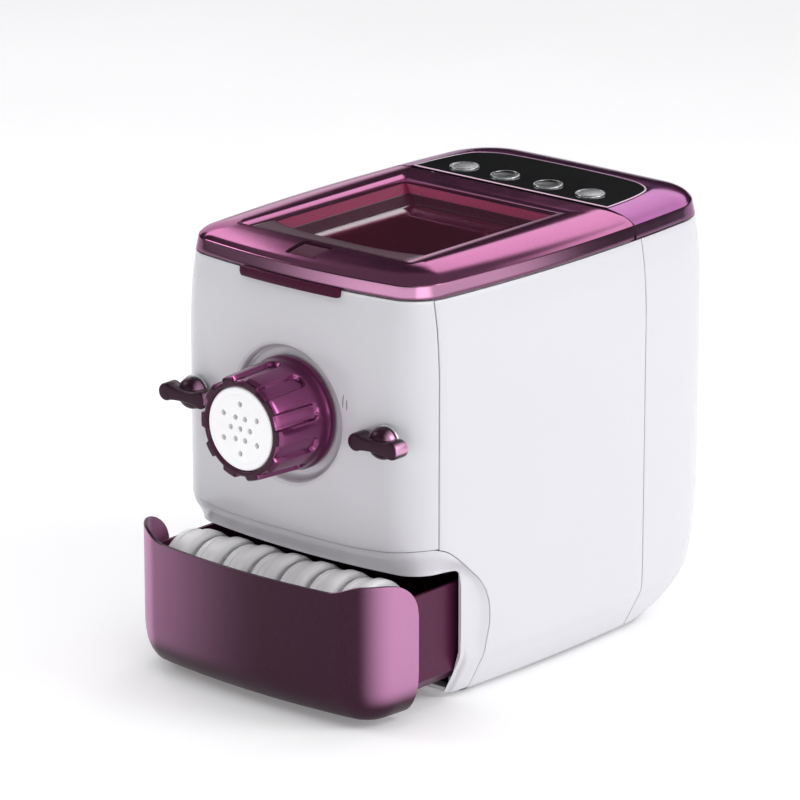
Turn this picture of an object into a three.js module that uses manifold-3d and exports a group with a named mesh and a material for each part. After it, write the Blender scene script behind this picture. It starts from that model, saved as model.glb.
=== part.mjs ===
// Electric pasta maker: a countertop machine with a hinged lid over a mixing bowl,
// an extrusion head with a screwed locking nut and die at the front, two wing knobs
// that clamp the front panel, a storage drawer with spare dies, and a geared motor
// drive behind the bowl. Millimetres, +Z up, front towards -Y, right side +X.
import * as THREE from "three";
import { mergeVertices } from "three/addons/utils/BufferGeometryUtils.js";
import Module from "manifold-3d";

const wasm = await Module();
wasm.setup();

// ---------------------------------------------------------------- dimensions
const SHIFT_Y = 23.8; // moves the body frame so that the origin is under the centre of the whole object
const A = 121.4; // half width of the body at its widest
const YF = -171; // front of the body on the centre line
const YR = 171; // rear of the body on the centre line
const BOW_SIDE = 11.4; // how far the sides curve in at the front and rear
const BOW_FRONT = 11.7; // how far the front curves back at its sides
const BOW_REAR = 3;
const R_FRONT = 28.7; // plan radius of the front corners
const R_REAR = 50; // plan radius of the rear corners
const WALL = 2.5; // housing wall
const RIM_Z = 286.4; // top of the white housing
const LID_Z0 = 287.4; // lower edge of the lid and the rear deck
const TOP_Z = 304.7; // crown of the lid and the rear deck
const SEAM_Y = 61.25; // seam between lid and rear deck
const HINGE_Y = 56; // lid hinge axis
const HINGE_Z = 300;
const HINGE_R = 4.9; // radius of the lid's rear edge about the hinge axis
const PANEL_SEAM_F = -142.2; // vertical seam between front panel and side panels
const PANEL_SEAM_R = 67; // vertical seam between side panels and rear cover
const FASCIA_Z0 = 112; // lower edge of the front panel
const AXIS_Z = 194; // height of the mixing and extrusion axis
const DISH_R = 46.6; // round recess in the front panel round the nut
const LIP_Z = 94.4; // upper edge of the drawer opening
const SURR_Y = -120; // face of the drawer opening
const DRAWER_OUT = 50; // how far the drawer stands open
const DRAWER_TOP = 95.5; // top edge of the drawer front
const TRAY_X = 104; // half width of the drawer tray
const KNOB_X = 86;
const KNOB_Z = 191;
const BOWL_R = 60;
const GEAR = { m1: 2, z1: 10, z2: 36, m2: 2.5, z3: 10, z4: 34, alpha: (25 * Math.PI) / 180, add: 0.8, ded: 1.1, lash: 0.28 };
const C2 = (GEAR.m2 * (GEAR.z3 + GEAR.z4)) / 2 + 0.05; // output gear to intermediate gear
const C1 = (GEAR.m1 * (GEAR.z1 + GEAR.z2)) / 2 + 0.05; // intermediate gear to motor pinion
const MID_Z = AXIS_Z - C2;
const MOTOR_Z = MID_Z - C1;

// how far the housing is drawn in at each height: side, front and rear
const LEVELS = [
  [2.6, 16.6, 16.6, 66],
  [10, 12.6, 12.6, 42],
  [22, 6.2, 6.2, 24],
  [35, 0.6, 0.6, 13.5],
  [60, 0, 0, 4],
  [100, 0, 0, 0],
  [232, 0, 0, 0],
  [262, 1.6, 1.6, 1.6],
  [RIM_Z, 5.2, 5.2, 5.2],
];
const TOP_LEVELS = [
  [LID_Z0, 5.4],
  [296.6, 7.9],
  [299.6, 11.5],
  [302.6, 20],
  [TOP_Z, 36],
];

// ---------------------------------------------------------------- solid tools
function solid(geometry) {
  const plain = geometry.index ? geometry.toNonIndexed() : geometry;
  const g = mergeVertices(new THREE.BufferGeometry().setAttribute("position", plain.getAttribute("position")), 1e-4);
  const m = new wasm.Manifold(
    new wasm.Mesh({ numProp: 3, vertProperties: g.attributes.position.array, triVerts: new Uint32Array(g.index.array) }),
  );
  if (m.volume() < 0) throw new Error("inside out");
  return m;
}
function geometryOf(m) {
  const mesh = m.getMesh();
  const g = new THREE.BufferGeometry()
    .setAttribute("position", new THREE.BufferAttribute(new Float32Array(mesh.vertProperties), 3))
    .setIndex(new THREE.BufferAttribute(new Uint32Array(mesh.triVerts), 1))
    .toNonIndexed();
  g.computeVertexNormals();
  return g;
}
const box = (x0, x1, y0, y1, z0, z1) =>
  solid(new THREE.BoxGeometry(x1 - x0, y1 - y0, z1 - z0).translate((x0 + x1) / 2, (y0 + y1) / 2, (z0 + z1) / 2));
// a turned solid about the Y axis through (x, z); profile is [radius, y] pairs, closed on the axis or on itself
function turnedY(profile, seg, x = 0, z = 0) {
  const pts = profile.map(([r, y]) => new THREE.Vector2(r, y));
  let g = new THREE.LatheGeometry(pts, seg);
  let m;
  try {
    m = solid(g);
  } catch (e) {
    g = new THREE.LatheGeometry(pts.slice().reverse(), seg);
    m = solid(g);
  }
  return m.translate([x, 0, z]);
}
const cylY = (r, y0, y1, seg, x = 0, z = 0) => turnedY([[0, y0], [r, y0], [r, y1], [0, y1]], seg, x, z);
const tubeY = (ri, ro, y0, y1, seg, x = 0, z = 0) =>
  turnedY([[ri, y0], [ro, y0], [ro, y1], [ri, y1], [ri, y0]], seg, x, z);
const cylZ = (r, z0, z1, seg, x, y) =>
  solid(new THREE.CylinderGeometry(r, r, z1 - z0, seg).rotateX(Math.PI / 2).translate(x, y, (z0 + z1) / 2));
const cylX = (r, x0, x1, seg, y, z) =>
  solid(new THREE.CylinderGeometry(r, r, x1 - x0, seg).rotateZ(-Math.PI / 2).translate((x0 + x1) / 2, y, z));
const shapeOf = (pts) => new THREE.Shape(pts.map(([x, y]) => new THREE.Vector2(x, y)));
// outline in the XZ plane, drawn out along Y
const alongY = (pts, y0, y1) =>
  solid(
    new THREE.ExtrudeGeometry(shapeOf(pts), { depth: y1 - y0, bevelEnabled: false })
      .rotateX(Math.PI / 2)
      .translate(0, y1, 0),
  );
// outline in the XY plane, drawn out along Z
const alongZ = (pts, z0, z1) =>
  solid(new THREE.ExtrudeGeometry(shapeOf(pts), { depth: z1 - z0, bevelEnabled: false }).translate(0, 0, z0));
// outline in the YZ plane, drawn out along X
const TURN_X = new THREE.Matrix4().set(0, 0, 1, 0, 1, 0, 0, 0, 0, 1, 0, 0, 0, 0, 0, 1);
const alongX = (pts, x0, x1) =>
  solid(
    new THREE.ExtrudeGeometry(shapeOf(pts), { depth: x1 - x0, bevelEnabled: false })
      .applyMatrix4(TURN_X)
      .translate(x0, 0, 0),
  );
// closed skin through rings of equal point count, bottom first, with flat ends
function loft(rings) {
  const n = rings[0].length,
    pos = [],
    tri = (a, b, c) => pos.push(...a, ...b, ...c);
  for (let k = 0; k + 1 < rings.length; k++)
    for (let i = 0; i < n; i++) {
      const j = (i + 1) % n,
        a = rings[k][i],
        b = rings[k][j],
        c = rings[k + 1][j],
        d = rings[k + 1][i];
      tri(a, b, c);
      tri(a, c, d);
    }
  const faces = THREE.ShapeUtils.triangulateShape(rings[0].map(([x, y]) => new THREE.Vector2(x, y)), []);
  for (const [a, b, c] of faces) tri(rings[0][a], rings[0][c], rings[0][b]);
  const top = rings[rings.length - 1];
  for (const [a, b, c] of THREE.ShapeUtils.triangulateShape(top.map(([x, y]) => new THREE.Vector2(x, y)), []))
    tri(top[a], top[b], top[c]);
  return solid(new THREE.BufferGeometry().setAttribute("position", new THREE.Float32BufferAttribute(pos, 3)));
}

// ---------------------------------------------------------------- body outline
// one plan outline of the body at height z, drawn in by ds at the sides, df at the front and dr at the rear
function ring(z, ds, df, dr, nf = 4, nr = 5, nside = 4, nfront = 6, nrear = 2) {
  const a = A - ds,
    yf = YF + df,
    yr = YR - dr,
    shrink = Math.min(ds, df, dr),
    rf = Math.max(6, R_FRONT - shrink),
    rr = Math.max(10, R_REAR - shrink);
  const pts = [];
  const arc = (cx, cy, r, t0, t1, n) => {
    for (let i = 0; i <= n; i++) {
      const t = t0 + ((t1 - t0) * i) / n;
      pts.push([cx + r * Math.cos(t), cy + r * Math.sin(t)]);
    }
  };
  const line = (x1, y1, n) => {
    const [x0, y0] = pts[pts.length - 1];
    for (let i = 1; i < n; i++) pts.push([x0 + ((x1 - x0) * i) / n, y0 + ((y1 - y0) * i) / n]);
  };
  const h = Math.PI / 2;
  arc(a - rf, yf + rf, rf, -h, 0, nf);
  line(a, yr - rr, nside);
  arc(a - rr, yr - rr, rr, 0, h, nr);
  line(-a + rr, yr, nrear);
  arc(-a + rr, yr - rr, rr, h, 2 * h, nr);
  line(-a, yf + rf, nside);
  arc(-a + rf, yf + rf, rf, 2 * h, 3 * h, nf);
  line(a - rf, yf, nfront);
  return pts.map(([x, y]) => {
    const s = Math.min(1, Math.abs(y) / YR),
      t = Math.abs(x) / A;
    return [
      x - Math.sign(x) * BOW_SIDE * s * s * t,
      y < 0 ? y + BOW_FRONT * t * t * s : y - BOW_REAR * t * t * s,
      z,
    ];
  });
}
const LIFT = [2.4, 2.2, 1.5, 0.6]; // the wall is also this much thicker downwards where the underside curves in
const hull = (inset) => {
  const at = ([z, s, f, r], i) => ring(z + (i < 4 ? LIFT[i] * Math.min(1, inset / WALL) : 0), s + inset, f + inset, r + inset);
  const rings = LEVELS.map(at);
  if (inset > 0) {
    const [, s0, f0, r0] = LEVELS[0];
    const [z1, s1, f1, r1] = LEVELS[LEVELS.length - 1];
    rings.unshift(ring(-4, s0 + inset, f0 + inset, r0 + inset));
    rings.push(ring(z1 + 6, s1 + inset, f1 + inset, r1 + inset));
  }
  return loft(rings);
};
const crown = (inset, down) =>
  loft(
    TOP_LEVELS.map(([z, d], i) => {
      const zz = i === 0 && down ? z - 6 : z - down;
      return ring(zz, d + inset, d + inset, d + inset);
    }),
  );

const outer = hull(0);
const shell = outer.subtract(hull(WALL));

// ---------------------------------------------------------------- housing panels
const GAP = 0.35;
// the side cut that the drawer opening makes in a side panel, drawn in the YZ plane
const sideCut = (g) => [
  [-200, -5],
  [-100 - g, -5],
  [-100 - g, 34],
  [-98.6 - g, 42],
  [-96.2 - g, 54],
  [-96.6 - g, 65],
  [-100 - g * 0.9, 76.5 - g * 0.4],
  [-106 - g * 0.8, 85.5 - g * 0.6],
  [-113 - g * 0.7, 92.5 - g * 0.7],
  [-122 - g * 0.7, 101 - g * 0.7],
  [-131 - g * 0.6, 108.6 - g * 0.8],
  [-137 - g * 0.3, 112.4 - g],
  [-143, 114.6 - g],
  [-200, 114.6 - g],
];
const niche = alongX(sideCut(0), -140, 140);
const nicheInner = alongX(sideCut(0.4), -140, 140);
const sidePanel = (sign) => {
  const half = sign > 0 ? box(0.5, 140, PANEL_SEAM_F + GAP, PANEL_SEAM_R - GAP, 0, 300) : box(-140, -0.5, PANEL_SEAM_F + GAP, PANEL_SEAM_R - GAP, 0, 300);
  // the underside belongs to the base plate
  return shell.intersect(half).subtract(niche).subtract(box(-100.5, 100.5, -200, 200, -5, 8));
};
const leftSidePanel = sidePanel(-1);
const rightSidePanel = sidePanel(1);

let rearCover = shell.intersect(box(-140, 140, PANEL_SEAM_R + GAP, 190, 0, 300)).subtract(box(-100.5, 100.5, 0, 97, -5, 8));
for (let i = 0; i < 7; i++) rearCover = rearCover.subtract(box(-33 + i * 11 - 1.7, -33 + i * 11 + 1.7, 150, 190, 108, 138));
const INLET_X = 62,
  INLET_Z = 86;
rearCover = rearCover.subtract(box(INLET_X - 15.3, INLET_X + 15.3, 150, 190, INLET_Z - 11.8, INLET_Z + 11.8));

const dishSection = [
  [33, -163],
  [33, -160.6],
  [49, -160.6],
  [49, -176],
  [DISH_R, -176],
  [DISH_R - 1.6, -163],
  [33, -163],
];
const WAVE = [
  [0, 112],
  [50, 111.2],
  [75, 112],
  [95, 114],
  [113, 115.2],
  [140, 115.2],
];
const waveOutline = (dz, top) => [
  [-140, top],
  ...WAVE.slice().reverse().map(([x, z]) => [-x, z + dz]),
  ...WAVE.slice(1).map(([x, z]) => [x, z + dz]),
  [140, top],
];
let frontFascia = shell
  .intersect(box(-140, 140, -200, PANEL_SEAM_F - GAP, 100, 300))
  .intersect(alongY(waveOutline(0, 300), -200, -100))
  .subtract(cylY(DISH_R + 0.6, -200, -120, 28, 0, AXIS_Z))
  .add(turnedY(dishSection, 28, 0, AXIS_Z).intersect(outer));
for (const s of [-1, 1]) frontFascia = frontFascia.subtract(cylY(5.2, -200, -120, 12, s * KNOB_X, KNOB_Z));

// the drawer front follows the body's outline from side to side and curls under at the bottom
const frontBand = (inset) =>
  loft([
    ring(4.6, 16 + inset, 16 + inset, 30),
    ring(7, 11.6 + inset, 11.6 + inset, 30),
    ring(10.5, 8 + inset, 8 + inset, 30),
    ring(15, 4.9 + inset, 4.9 + inset, 30),
    ring(20, 2.7 + inset, 2.7 + inset, 30),
    ring(27, 1.1 + inset, 1.1 + inset, 30),
    ring(36, 0.4 + inset, 0.4 + inset, 30),
    ring(112, 0.4 + inset, 0.4 + inset, 30),
  ]);
const wingCorner = [
  [-220, 0],
  [-117.5, 0],
  [-117.5, 76],
  [-118.6, 83],
  [-122, 90],
  [-128, 96.2],
  [-135.5, 100.3],
  [-144, 102],
  [-220, 103],
];
// room for the closed drawer's wings
const wingRoom = alongX([[-126, -5], [-117.15, -5], [-117.15, 76.3], [-118.3, 83.6], [-121.7, 90.6], [-126, 95]], -140, 140).subtract(frontBand(2.75));

// the white scooped frame round the drawer opening
const surroundOutline = [
  [-118.4, LIP_Z + 6],
  [-118.4, 40],
  [-103.5, 9],
  [103.5, 9],
  [118.4, 40],
  [118.4, LIP_Z + 6],
];
const openingOutline = [
  [-109, LIP_Z],
  [-109, 36],
  [-104.7, 21],
  [-104.7, -20],
  [104.7, -20],
  [104.7, 21],
  [109, 36],
  [109, LIP_Z],
];
const inside = hull(WALL + GAP);
// the scoop's surface at each height: how far it lies inside the body outline
const scoopLevels = [
  [LIP_Z, 9.6],
  [97, 8.8],
  [101, 6.4],
  [104.5, 3.6],
  [107.5, 1.3],
  [109.5, 0.4],
  [120, 0.4],
];
const scoopOuter = loft(scoopLevels.map(([z, d]) => ring(z, d, d, 60)));
const scoopInner = loft(
  scoopLevels.map(([z, d], i) => ring(i === 0 ? z - 2 : z + (i < 5 ? 1.4 : 0), d + 2.6, d + 2.6, 70)),
);
const topScoop = scoopOuter
  .subtract(scoopInner)
  .intersect(alongY([[-140, 80], [140, 80], ...WAVE.slice(1).reverse().map(([x, z]) => [x, z - 0.5]), ...WAVE.map(([x, z]) => [-x, z - 0.5])], -200, -96));
const topLip = box(-116, 116, -164, SURR_Y + 4, LIP_Z, LIP_Z + 2.4).intersect(scoopOuter);
const sideScoop = (s) =>
  alongZ(
    [
      [121, -96],
      [118.6, -96],
      [116.2, -98],
      [113.8, -102],
      [112.7, -107],
      [112.3, -112],
      [112.2, -120],
      [109.6, -120],
      [109.8, -111],
      [110.6, -105],
      [112.4, -100.5],
      [114.8, -97],
      [117, -94],
      [121, -94],
    ].map(([x, y]) => [s * x, y]),
    30,
    100,
  );
const cheek = (s) =>
  outer
    .subtract(hull(2.4))
    .intersect(s > 0 ? box(100.6, 140, SURR_Y, -90, 2.6, 40) : box(-140, -100.6, SURR_Y, -90, 2.6, 40));
const drawerSurround = alongY(surroundOutline, SURR_Y, SURR_Y + 4)
  .intersect(inside)
  .add(topScoop)
  .add(topLip)
  .add(sideScoop(1))
  .add(sideScoop(-1))
  .add(cheek(1))
  .add(cheek(-1))
  .subtract(alongY(openingOutline, -200, -90).intersect(box(-140, 140, SURR_Y - 1, -90, -20, LIP_Z)))
  .intersect(hull(0.2))
  .intersect(nicheInner)
  .subtract(wingRoom)
  .subtract(box(-100.6, 100.6, -200, -90, -5, 9));

// bottom pan between the side panels
const basePlate = loft([ring(3, 20, 20, 69.6), ring(6, 20, 20, 69.6)])
  .intersect(box(-100, 100, -117, 110, 0, 10))
  .add(box(-97, -94, -112, 76, 5.5, 13))
  .add(box(94, 97, -112, 76, 5.5, 13));
const foot = turnedY([[0, 0], [8.5, 0], [9.5, 1.2], [9.5, 2.7], [0, 2.7]], 16).rotate([90, 0, 0]);
const baseScrew = turnedY([[0, 0], [3.6, 0], [3.6, 1.5], [1.5, 1.5], [1.5, 9], [0, 9]], 10).rotate([90, 0, 0]);
const FEET = [
  [-88, -98],
  [88, -98],
  [-88, 84],
  [88, 84],
];
const SCREWS = [
  [-62, -104],
  [62, -104],
  [-62, 86],
  [62, 86],
];
let pan = basePlate;
for (const [x, y] of SCREWS) pan = pan.subtract(cylZ(4.2, 0, 5.1, 10, x, y)).subtract(cylZ(1.9, 0, 9, 10, x, y));

// frame under the lid, with the bowl's opening
const rectangle = (x, y0, y1, r = 0) =>
  r
    ? [
        [-x + r, y0], [x - r, y0], [x - r * 0.3, y0 + r * 0.3], [x, y0 + r],
        [x, y1 - r], [x - r * 0.3, y1 - r * 0.3], [x - r, y1], [-x + r, y1],
        [-x + r * 0.3, y1 - r * 0.3], [-x, y1 - r], [-x, y0 + r], [-x + r * 0.3, y0 + r * 0.3],
      ]
    : [[-x, y0], [x, y0], [x, y1], [-x, y1]];
const topFrame = loft([ring(283.2, 8.6, 8.6, 8.6), ring(286.2, 8.6, 8.6, 8.6)])
  .intersect(box(-140, 140, -200, 58.5, 280, 290))
  .subtract(alongZ(rectangle(60.5, -120, 40), 270, 300));

// inner plate that carries the barrel and the knob studs
let frontFrame = box(-94, 94, -150, -146.5, 118, 276).subtract(cylY(28.4, -160, -140, 20, 0, AXIS_Z));
for (const s of [-1, 1]) frontFrame = frontFrame.subtract(cylY(4.3, -160, -140, 10, s * KNOB_X, KNOB_Z));
const stud = turnedY([[0, -177], [4, -177], [4, -150.4], [7, -150.4], [7, -150.3], [4, -150.3], [4, -144], [0, -144]], 12);

// bulkhead that carries the gearbox
const bulkhead = box(-108, 108, 45, 48, 96, 282.8).subtract(cylY(8.5, 40, 60, 12, 0, AXIS_Z));

// ---------------------------------------------------------------- bowl and barrel
const uShape = (r, top, n) => {
  const pts = [];
  for (let i = 0; i <= n; i++) {
    const t = Math.PI + (Math.PI * i) / n;
    pts.push([r * Math.cos(t), AXIS_Z + r * Math.sin(t)]);
  }
  return [...pts, [r, top], [-r, top]];
};
const mixingBowl = alongY(uShape(BOWL_R + 2.6, 282.8, 14), -122, 42)
  .add(alongZ(rectangle(68, -126, 44.6), 279.6, 282.8))
  .subtract(alongY(uShape(BOWL_R, 290, 14), -119.4, 39.4))
  .subtract(cylY(25, -130, -110, 20, 0, AXIS_Z))
  .subtract(cylY(6.6, 30, 50, 12, 0, AXIS_Z));
const barrel = turnedY(
  [
    [24.3, -204],
    [30.6, -204],
    [31.2, -202],
    [31.2, -163],
    [32.2, -162.4],
    [32.2, -157],
    [38, -156],
    [38, -150.4],
    [28, -150.4],
    [28, -122.4],
    [24.3, -122.4],
    [24.3, -204],
  ],
  24,
  0,
  AXIS_Z,
);

// ---------------------------------------------------------------- nut, die and knobs
const FLUTES = 10;
let nut = turnedY(
  [
    [31.9, -163.6],
    [37.4, -163.6],
    [39.6, -165],
    [39.6, -169],
    [38.6, -171.5],
    [36.1, -214.5],
    [34.6, -217.2],
    [29.4, -217.2],
    [29.4, -208],
    [31.9, -206.8],
    [31.9, -163.6],
  ],
  30,
);
for (let i = 0; i < FLUTES; i++) {
  const groove = solid(
    new THREE.CylinderGeometry(5.2, 5.2, 46, 6, 1).translate(0, -202.5, 0),
  )
    .translate([0, 0, 0])
    .add(solid(new THREE.SphereGeometry(5.2, 6, 4).translate(0, -179.5, 0)))
    .translate([38.9, 0, 0])
    .rotate([0, (360 / FLUTES) * i + 18, 0]);
  nut = nut.subtract(groove);
}
const dieHoles = [[0, 0]];
for (let i = 0; i < 6; i++) dieHoles.push([8.6 * Math.cos((i * Math.PI) / 3), 8.6 * Math.sin((i * Math.PI) / 3)]);
for (let i = 0; i < 6; i++) dieHoles.push([17.2 * Math.cos(((i + 0.5) * Math.PI) / 3), 17.2 * Math.sin(((i + 0.5) * Math.PI) / 3)]);
let installedDie = turnedY(
  [
    [0, -204.4],
    [31, -204.4],
    [31, -206.5],
    [28.9, -207.6],
    [28.9, -215.2],
    [27.6, -216.4],
    [0, -216.4],
  ],
  24,
);
for (const [x, z] of dieHoles) installedDie = installedDie.subtract(cylY(1.9, -220, -200, 6, x, z));

// spare die, turned about its own axis; local Y is the axis
const spareDie = turnedY([[0, -11], [26, -11], [27.5, -9.5], [27.5, 2], [29.5, 3], [29.5, 10], [28, 11], [0, 11]], 16);

// wing knob about the local Y axis, its wings along X
const lobes = [];
const lobe = (cx, r, t0, t1, n) => {
  for (let i = 0; i <= n; i++) {
    const t = t0 + ((t1 - t0) * i) / n;
    lobes.push([cx + r * Math.cos(t), r * Math.sin(t)]);
  }
};
lobe(15.5, 6.2, -2.25, 2.25, 8);
lobes.push([5, 4.2], [-5, 4.2]);
lobe(-15.5, 6.2, Math.PI - 2.25, Math.PI + 2.25, 8);
lobes.push([-5, -4.2], [5, -4.2]);
const wingKnob = alongY(lobes, -182, -170)
  .add(turnedY([[0, -168.7], [11, -168.7], [11.2, -171], [10, -174.5], [7, -177.5], [0, -178.8]], 18))
  .subtract(cylY(4.35, -178.4, -160, 12));
const knobWasher = tubeY(4.4, 12.4, -168.4, -167.2, 16);

// ---------------------------------------------------------------- lid and deck
const lidRegion = alongX(
  [
    [-200, 280],
    [HINGE_Y + HINGE_R - 2.5, 280],
    [HINGE_Y + HINGE_R - 2.5, LID_Z0 + 0.3],
    [HINGE_Y + HINGE_R, LID_Z0 + 3.2],
    ...[0, 1, 2, 3, 4, 5, 6].map((i) => {
      const t = (i * Math.PI) / 12;
      return [HINGE_Y + HINGE_R * Math.cos(t), HINGE_Z + HINGE_R * Math.sin(t)];
    }),
    [HINGE_Y, 320],
    [-200, 320],
  ],
  -140,
  140,
);
const WINDOW = { x: 70, y0: -131, y1: 32 };
const crownSolid = crown(0, 0);
const crownInside = crown(2.6, 2.6);
let lidFrame = crownSolid
  .subtract(crownInside.intersect(box(-140, 140, -200, 51, 270, 320)))
  .intersect(lidRegion)
  .subtract(alongZ(rectangle(WINDOW.x, WINDOW.y0, WINDOW.y1, 7), 270, 330));
const CAP = { x: 13, y0: -156, y1: -136 };
lidFrame = lidFrame.subtract(box(-CAP.x - 0.4, CAP.x + 0.4, CAP.y0 - 0.4, CAP.y1 + 0.4, 290, 320));
for (const s of [-1, 1])
  lidFrame = lidFrame
    .subtract(cylX(1.5, s > 0 ? 87 : -97, s > 0 ? 97 : -87, 10, HINGE_Y, HINGE_Z))
    .subtract(s > 0 ? box(83.5, 88.5, 52.6, 70, 280, 302.75) : box(-88.5, -83.5, 52.6, 70, 280, 302.75));
// dark see-through tray in the lid: sloping sides, flat pane
const trayRing = (g, z) => rectangle(WINDOW.x - g, WINDOW.y0 + g * 1.6, WINDOW.y1 - g, 7).map(([x, y]) => [x, y, z]);
const lidWindow = loft([trayRing(10, 288.6), trayRing(4.5, 292), trayRing(0.4, 301.6)])
  .add(alongZ(rectangle(WINDOW.x + 3, WINDOW.y0 - 3, WINDOW.y1 + 3, 7), 298.6, 301.4).intersect(crown(3.2, 3.2)))
  .subtract(loft([trayRing(12.5, 290.8), trayRing(7, 294), trayRing(2.8, 303)]));
const lidCap = box(-CAP.x, CAP.x, CAP.y0, CAP.y1, 294.6, 299.4).intersect(crown(1.2, 0.8));
const lidGrip = loft([ring(281.6, 3.4, 1.4, 5), ring(283, 2.2, 0.2, 5), ring(288.6, 2.2, 0.8, 5), ring(291.4, 4.4, 4.4, 5)])
  .subtract(loft([ring(280, 9, 3.9, 9), ring(RIM_Z - 2, 9, 4.4, 9), ring(RIM_Z + 0.9, 9, 5, 9), ring(296.6, 9, 7.7, 9)]))
  .intersect(box(-44, 44, -190, -140, 270, 300));

const panelPoints = (inset, y0) => {
  const half = [
    [88 - inset, y0],
    [86.5 - inset, 84],
    [84 - inset, 102],
    [80 - inset, 115],
    [72 - inset * 0.8, 124 - inset * 0.7],
    [58, 129.5 - inset],
    [30, 132 - inset],
    [0, 132.6 - inset],
  ];
  return [...half, ...half.slice(0, -1).reverse().map(([x, y]) => [-x, y])];
};
const BUTTONS = [-57, -19.5, 19.5, 57];
const BUTTON_Y = 82;
let deckHousing = crownSolid
  .subtract(crownInside)
  .add(alongZ(panelPoints(-2.4, 60.6), 300.2, 303.4).intersect(crownSolid))
  .add(box(-112, 112, 56, SEAM_Y + 2.5, LID_Z0, 304).intersect(crownSolid))
  .intersect(box(-140, 140, SEAM_Y, 200, 280, 320))
  .subtract(alongZ(panelPoints(-0.35, 62), 302.7, 330));
// two ears reach forward under the lid and carry the hinge pins
const earSide = [
  [53.8, 287.9],
  [66, 287.9],
  [66, 291.2],
  [59.4, 291.2],
  [58.4, 293],
  [58.4, 300],
  [57.7, 301.7],
  [56, 302.4],
  [54.3, 301.7],
  [53.6, 300],
];
for (const s of [-1, 1])
  deckHousing = deckHousing
    .add(s > 0 ? alongX(earSide, 84, 88) : alongX(earSide, -88, -84))
    .add(cylX(1.3, s > 0 ? 87.5 : -95, s > 0 ? 95 : -87.5, 10, HINGE_Y, HINGE_Z));
for (const x of BUTTONS) deckHousing = deckHousing.subtract(cylZ(5, 290, 310, 12, x, BUTTON_Y));
let controlPanel = alongZ(panelPoints(0, 62.4), 303, 305);
for (const x of BUTTONS) controlPanel = controlPanel.subtract(cylZ(11, 290, 310, 24, x, BUTTON_Y));
const button = turnedY([[0, 297.8], [3, 297.8], [3, 304.1], [10.6, 304.1], [10.6, 305.6], [9.8, 306.2], [0, 305.8]], 16).rotate([90, 0, 0]);
let controlBoard = box(-76, 76, 69, 102, 292.4, 294);
for (const x of BUTTONS) controlBoard = controlBoard.add(box(x - 3, x + 3, BUTTON_Y - 3, BUTTON_Y + 3, 293.8, 296));
controlBoard = controlBoard.add(box(-12, 12, 90, 97, 286.5, 292.6));

// ---------------------------------------------------------------- shaft, screw and gears
const mixRod = cylY(6, -117.6, 78, 14);
let mixingShaft = mixRod;
const ARMS = [
  [-104, 0],
  [-80, 75],
  [-54, 150],
  [-28, 225],
  [-2, 300],
  [22, 15],
];
ARMS.forEach(([y, deg]) => {
  const arm = box(-3.2, 3.2, y - 3.5, y + 3.5, 3, 50)
    .add(box(-3.2, 3.2, y - 7, y + 7, 47, 56.5))
    .rotate([0, deg, 0]);
  mixingShaft = mixingShaft.add(arm);
});
mixingShaft = mixingShaft.translate([0, 0, AXIS_Z]);
// single-start screw: a lobed section turned as it runs forward
const screwRings = [];
const TURNS = 2.2,
  Y0 = -118.2,
  Y1 = -200;
for (let k = 0; k <= 22; k++) {
  const u = k / 22,
    y = Y1 + (Y0 - Y1) * u,
    phase = -u * TURNS * 2 * Math.PI;
  const section = [];
  for (let i = 0; i < 12; i++) {
    const t = (i / 12) * 2 * Math.PI;
    const fin = i < 2 ? 23.4 : i === 2 || i === 11 ? 10.5 : 9;
    section.push([fin * Math.cos(t + phase), fin * Math.sin(t + phase), y]);
  }
  screwRings.push(section);
}
// the rings are built as x, z, y and turned so that the screw runs along Y
const augerScrew = loft(screwRings).rotate([90, 0, 0]).mirror([0, 1, 0]).translate([0, 0, AXIS_Z]);

const inv = (a) => Math.tan(a) - a;
function gearOutline(m, z, first) {
  const rp = (m * z) / 2,
    rb = rp * Math.cos(GEAR.alpha),
    ra = rp + GEAR.add * m,
    rr = rp - GEAR.ded * m;
  const half = Math.PI / (2 * z) - GEAR.lash / (2 * rp);
  const at = (r) => half + inv(GEAR.alpha) - (r > rb ? inv(Math.acos(rb / r)) : 0);
  const r0 = Math.max(rb, rr + 0.2),
    radii = [rr, r0 + (ra - r0) * 0.45, ra];
  const pts = [];
  for (let i = 0; i < z; i++) {
    const c = first + (2 * Math.PI * i) / z;
    radii.forEach((r) => pts.push([r * Math.cos(c - at(Math.max(r, r0))), r * Math.sin(c - at(Math.max(r, r0)))]));
    radii
      .slice()
      .reverse()
      .forEach((r) => pts.push([r * Math.cos(c + at(Math.max(r, r0))), r * Math.sin(c + at(Math.max(r, r0)))]));
  }
  return pts;
}
const D = -Math.PI / 2,
  U = Math.PI / 2;
const outputGear = alongY(gearOutline(GEAR.m2, GEAR.z4, D), 64, 76).subtract(cylY(6.3, 50, 90, 14)).translate([0, 0, AXIS_Z]);
const midGear = alongY(gearOutline(GEAR.m2, GEAR.z3, U + Math.PI / GEAR.z3), 63.5, 80)
  .add(alongY(gearOutline(GEAR.m1, GEAR.z2, D), 79.5, 89))
  .subtract(cylY(3.4, 50, 100, 10))
  .translate([0, 0, MID_Z]);
let motorRotor = alongY(gearOutline(GEAR.m1, GEAR.z1, U + Math.PI / GEAR.z1), 78.6, 90)
  .add(cylY(4, 88, 162, 12))
  .add(cylY(10, 158.5, 163.5, 14));
for (let i = 0; i < 7; i++)
  motorRotor = motorRotor.add(box(-0.9, 0.9, 158.5, 163.5, 8, 29).rotate([0, (i * 360) / 7, 0]));
motorRotor = motorRotor.translate([0, 0, MOTOR_Z]);

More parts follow.
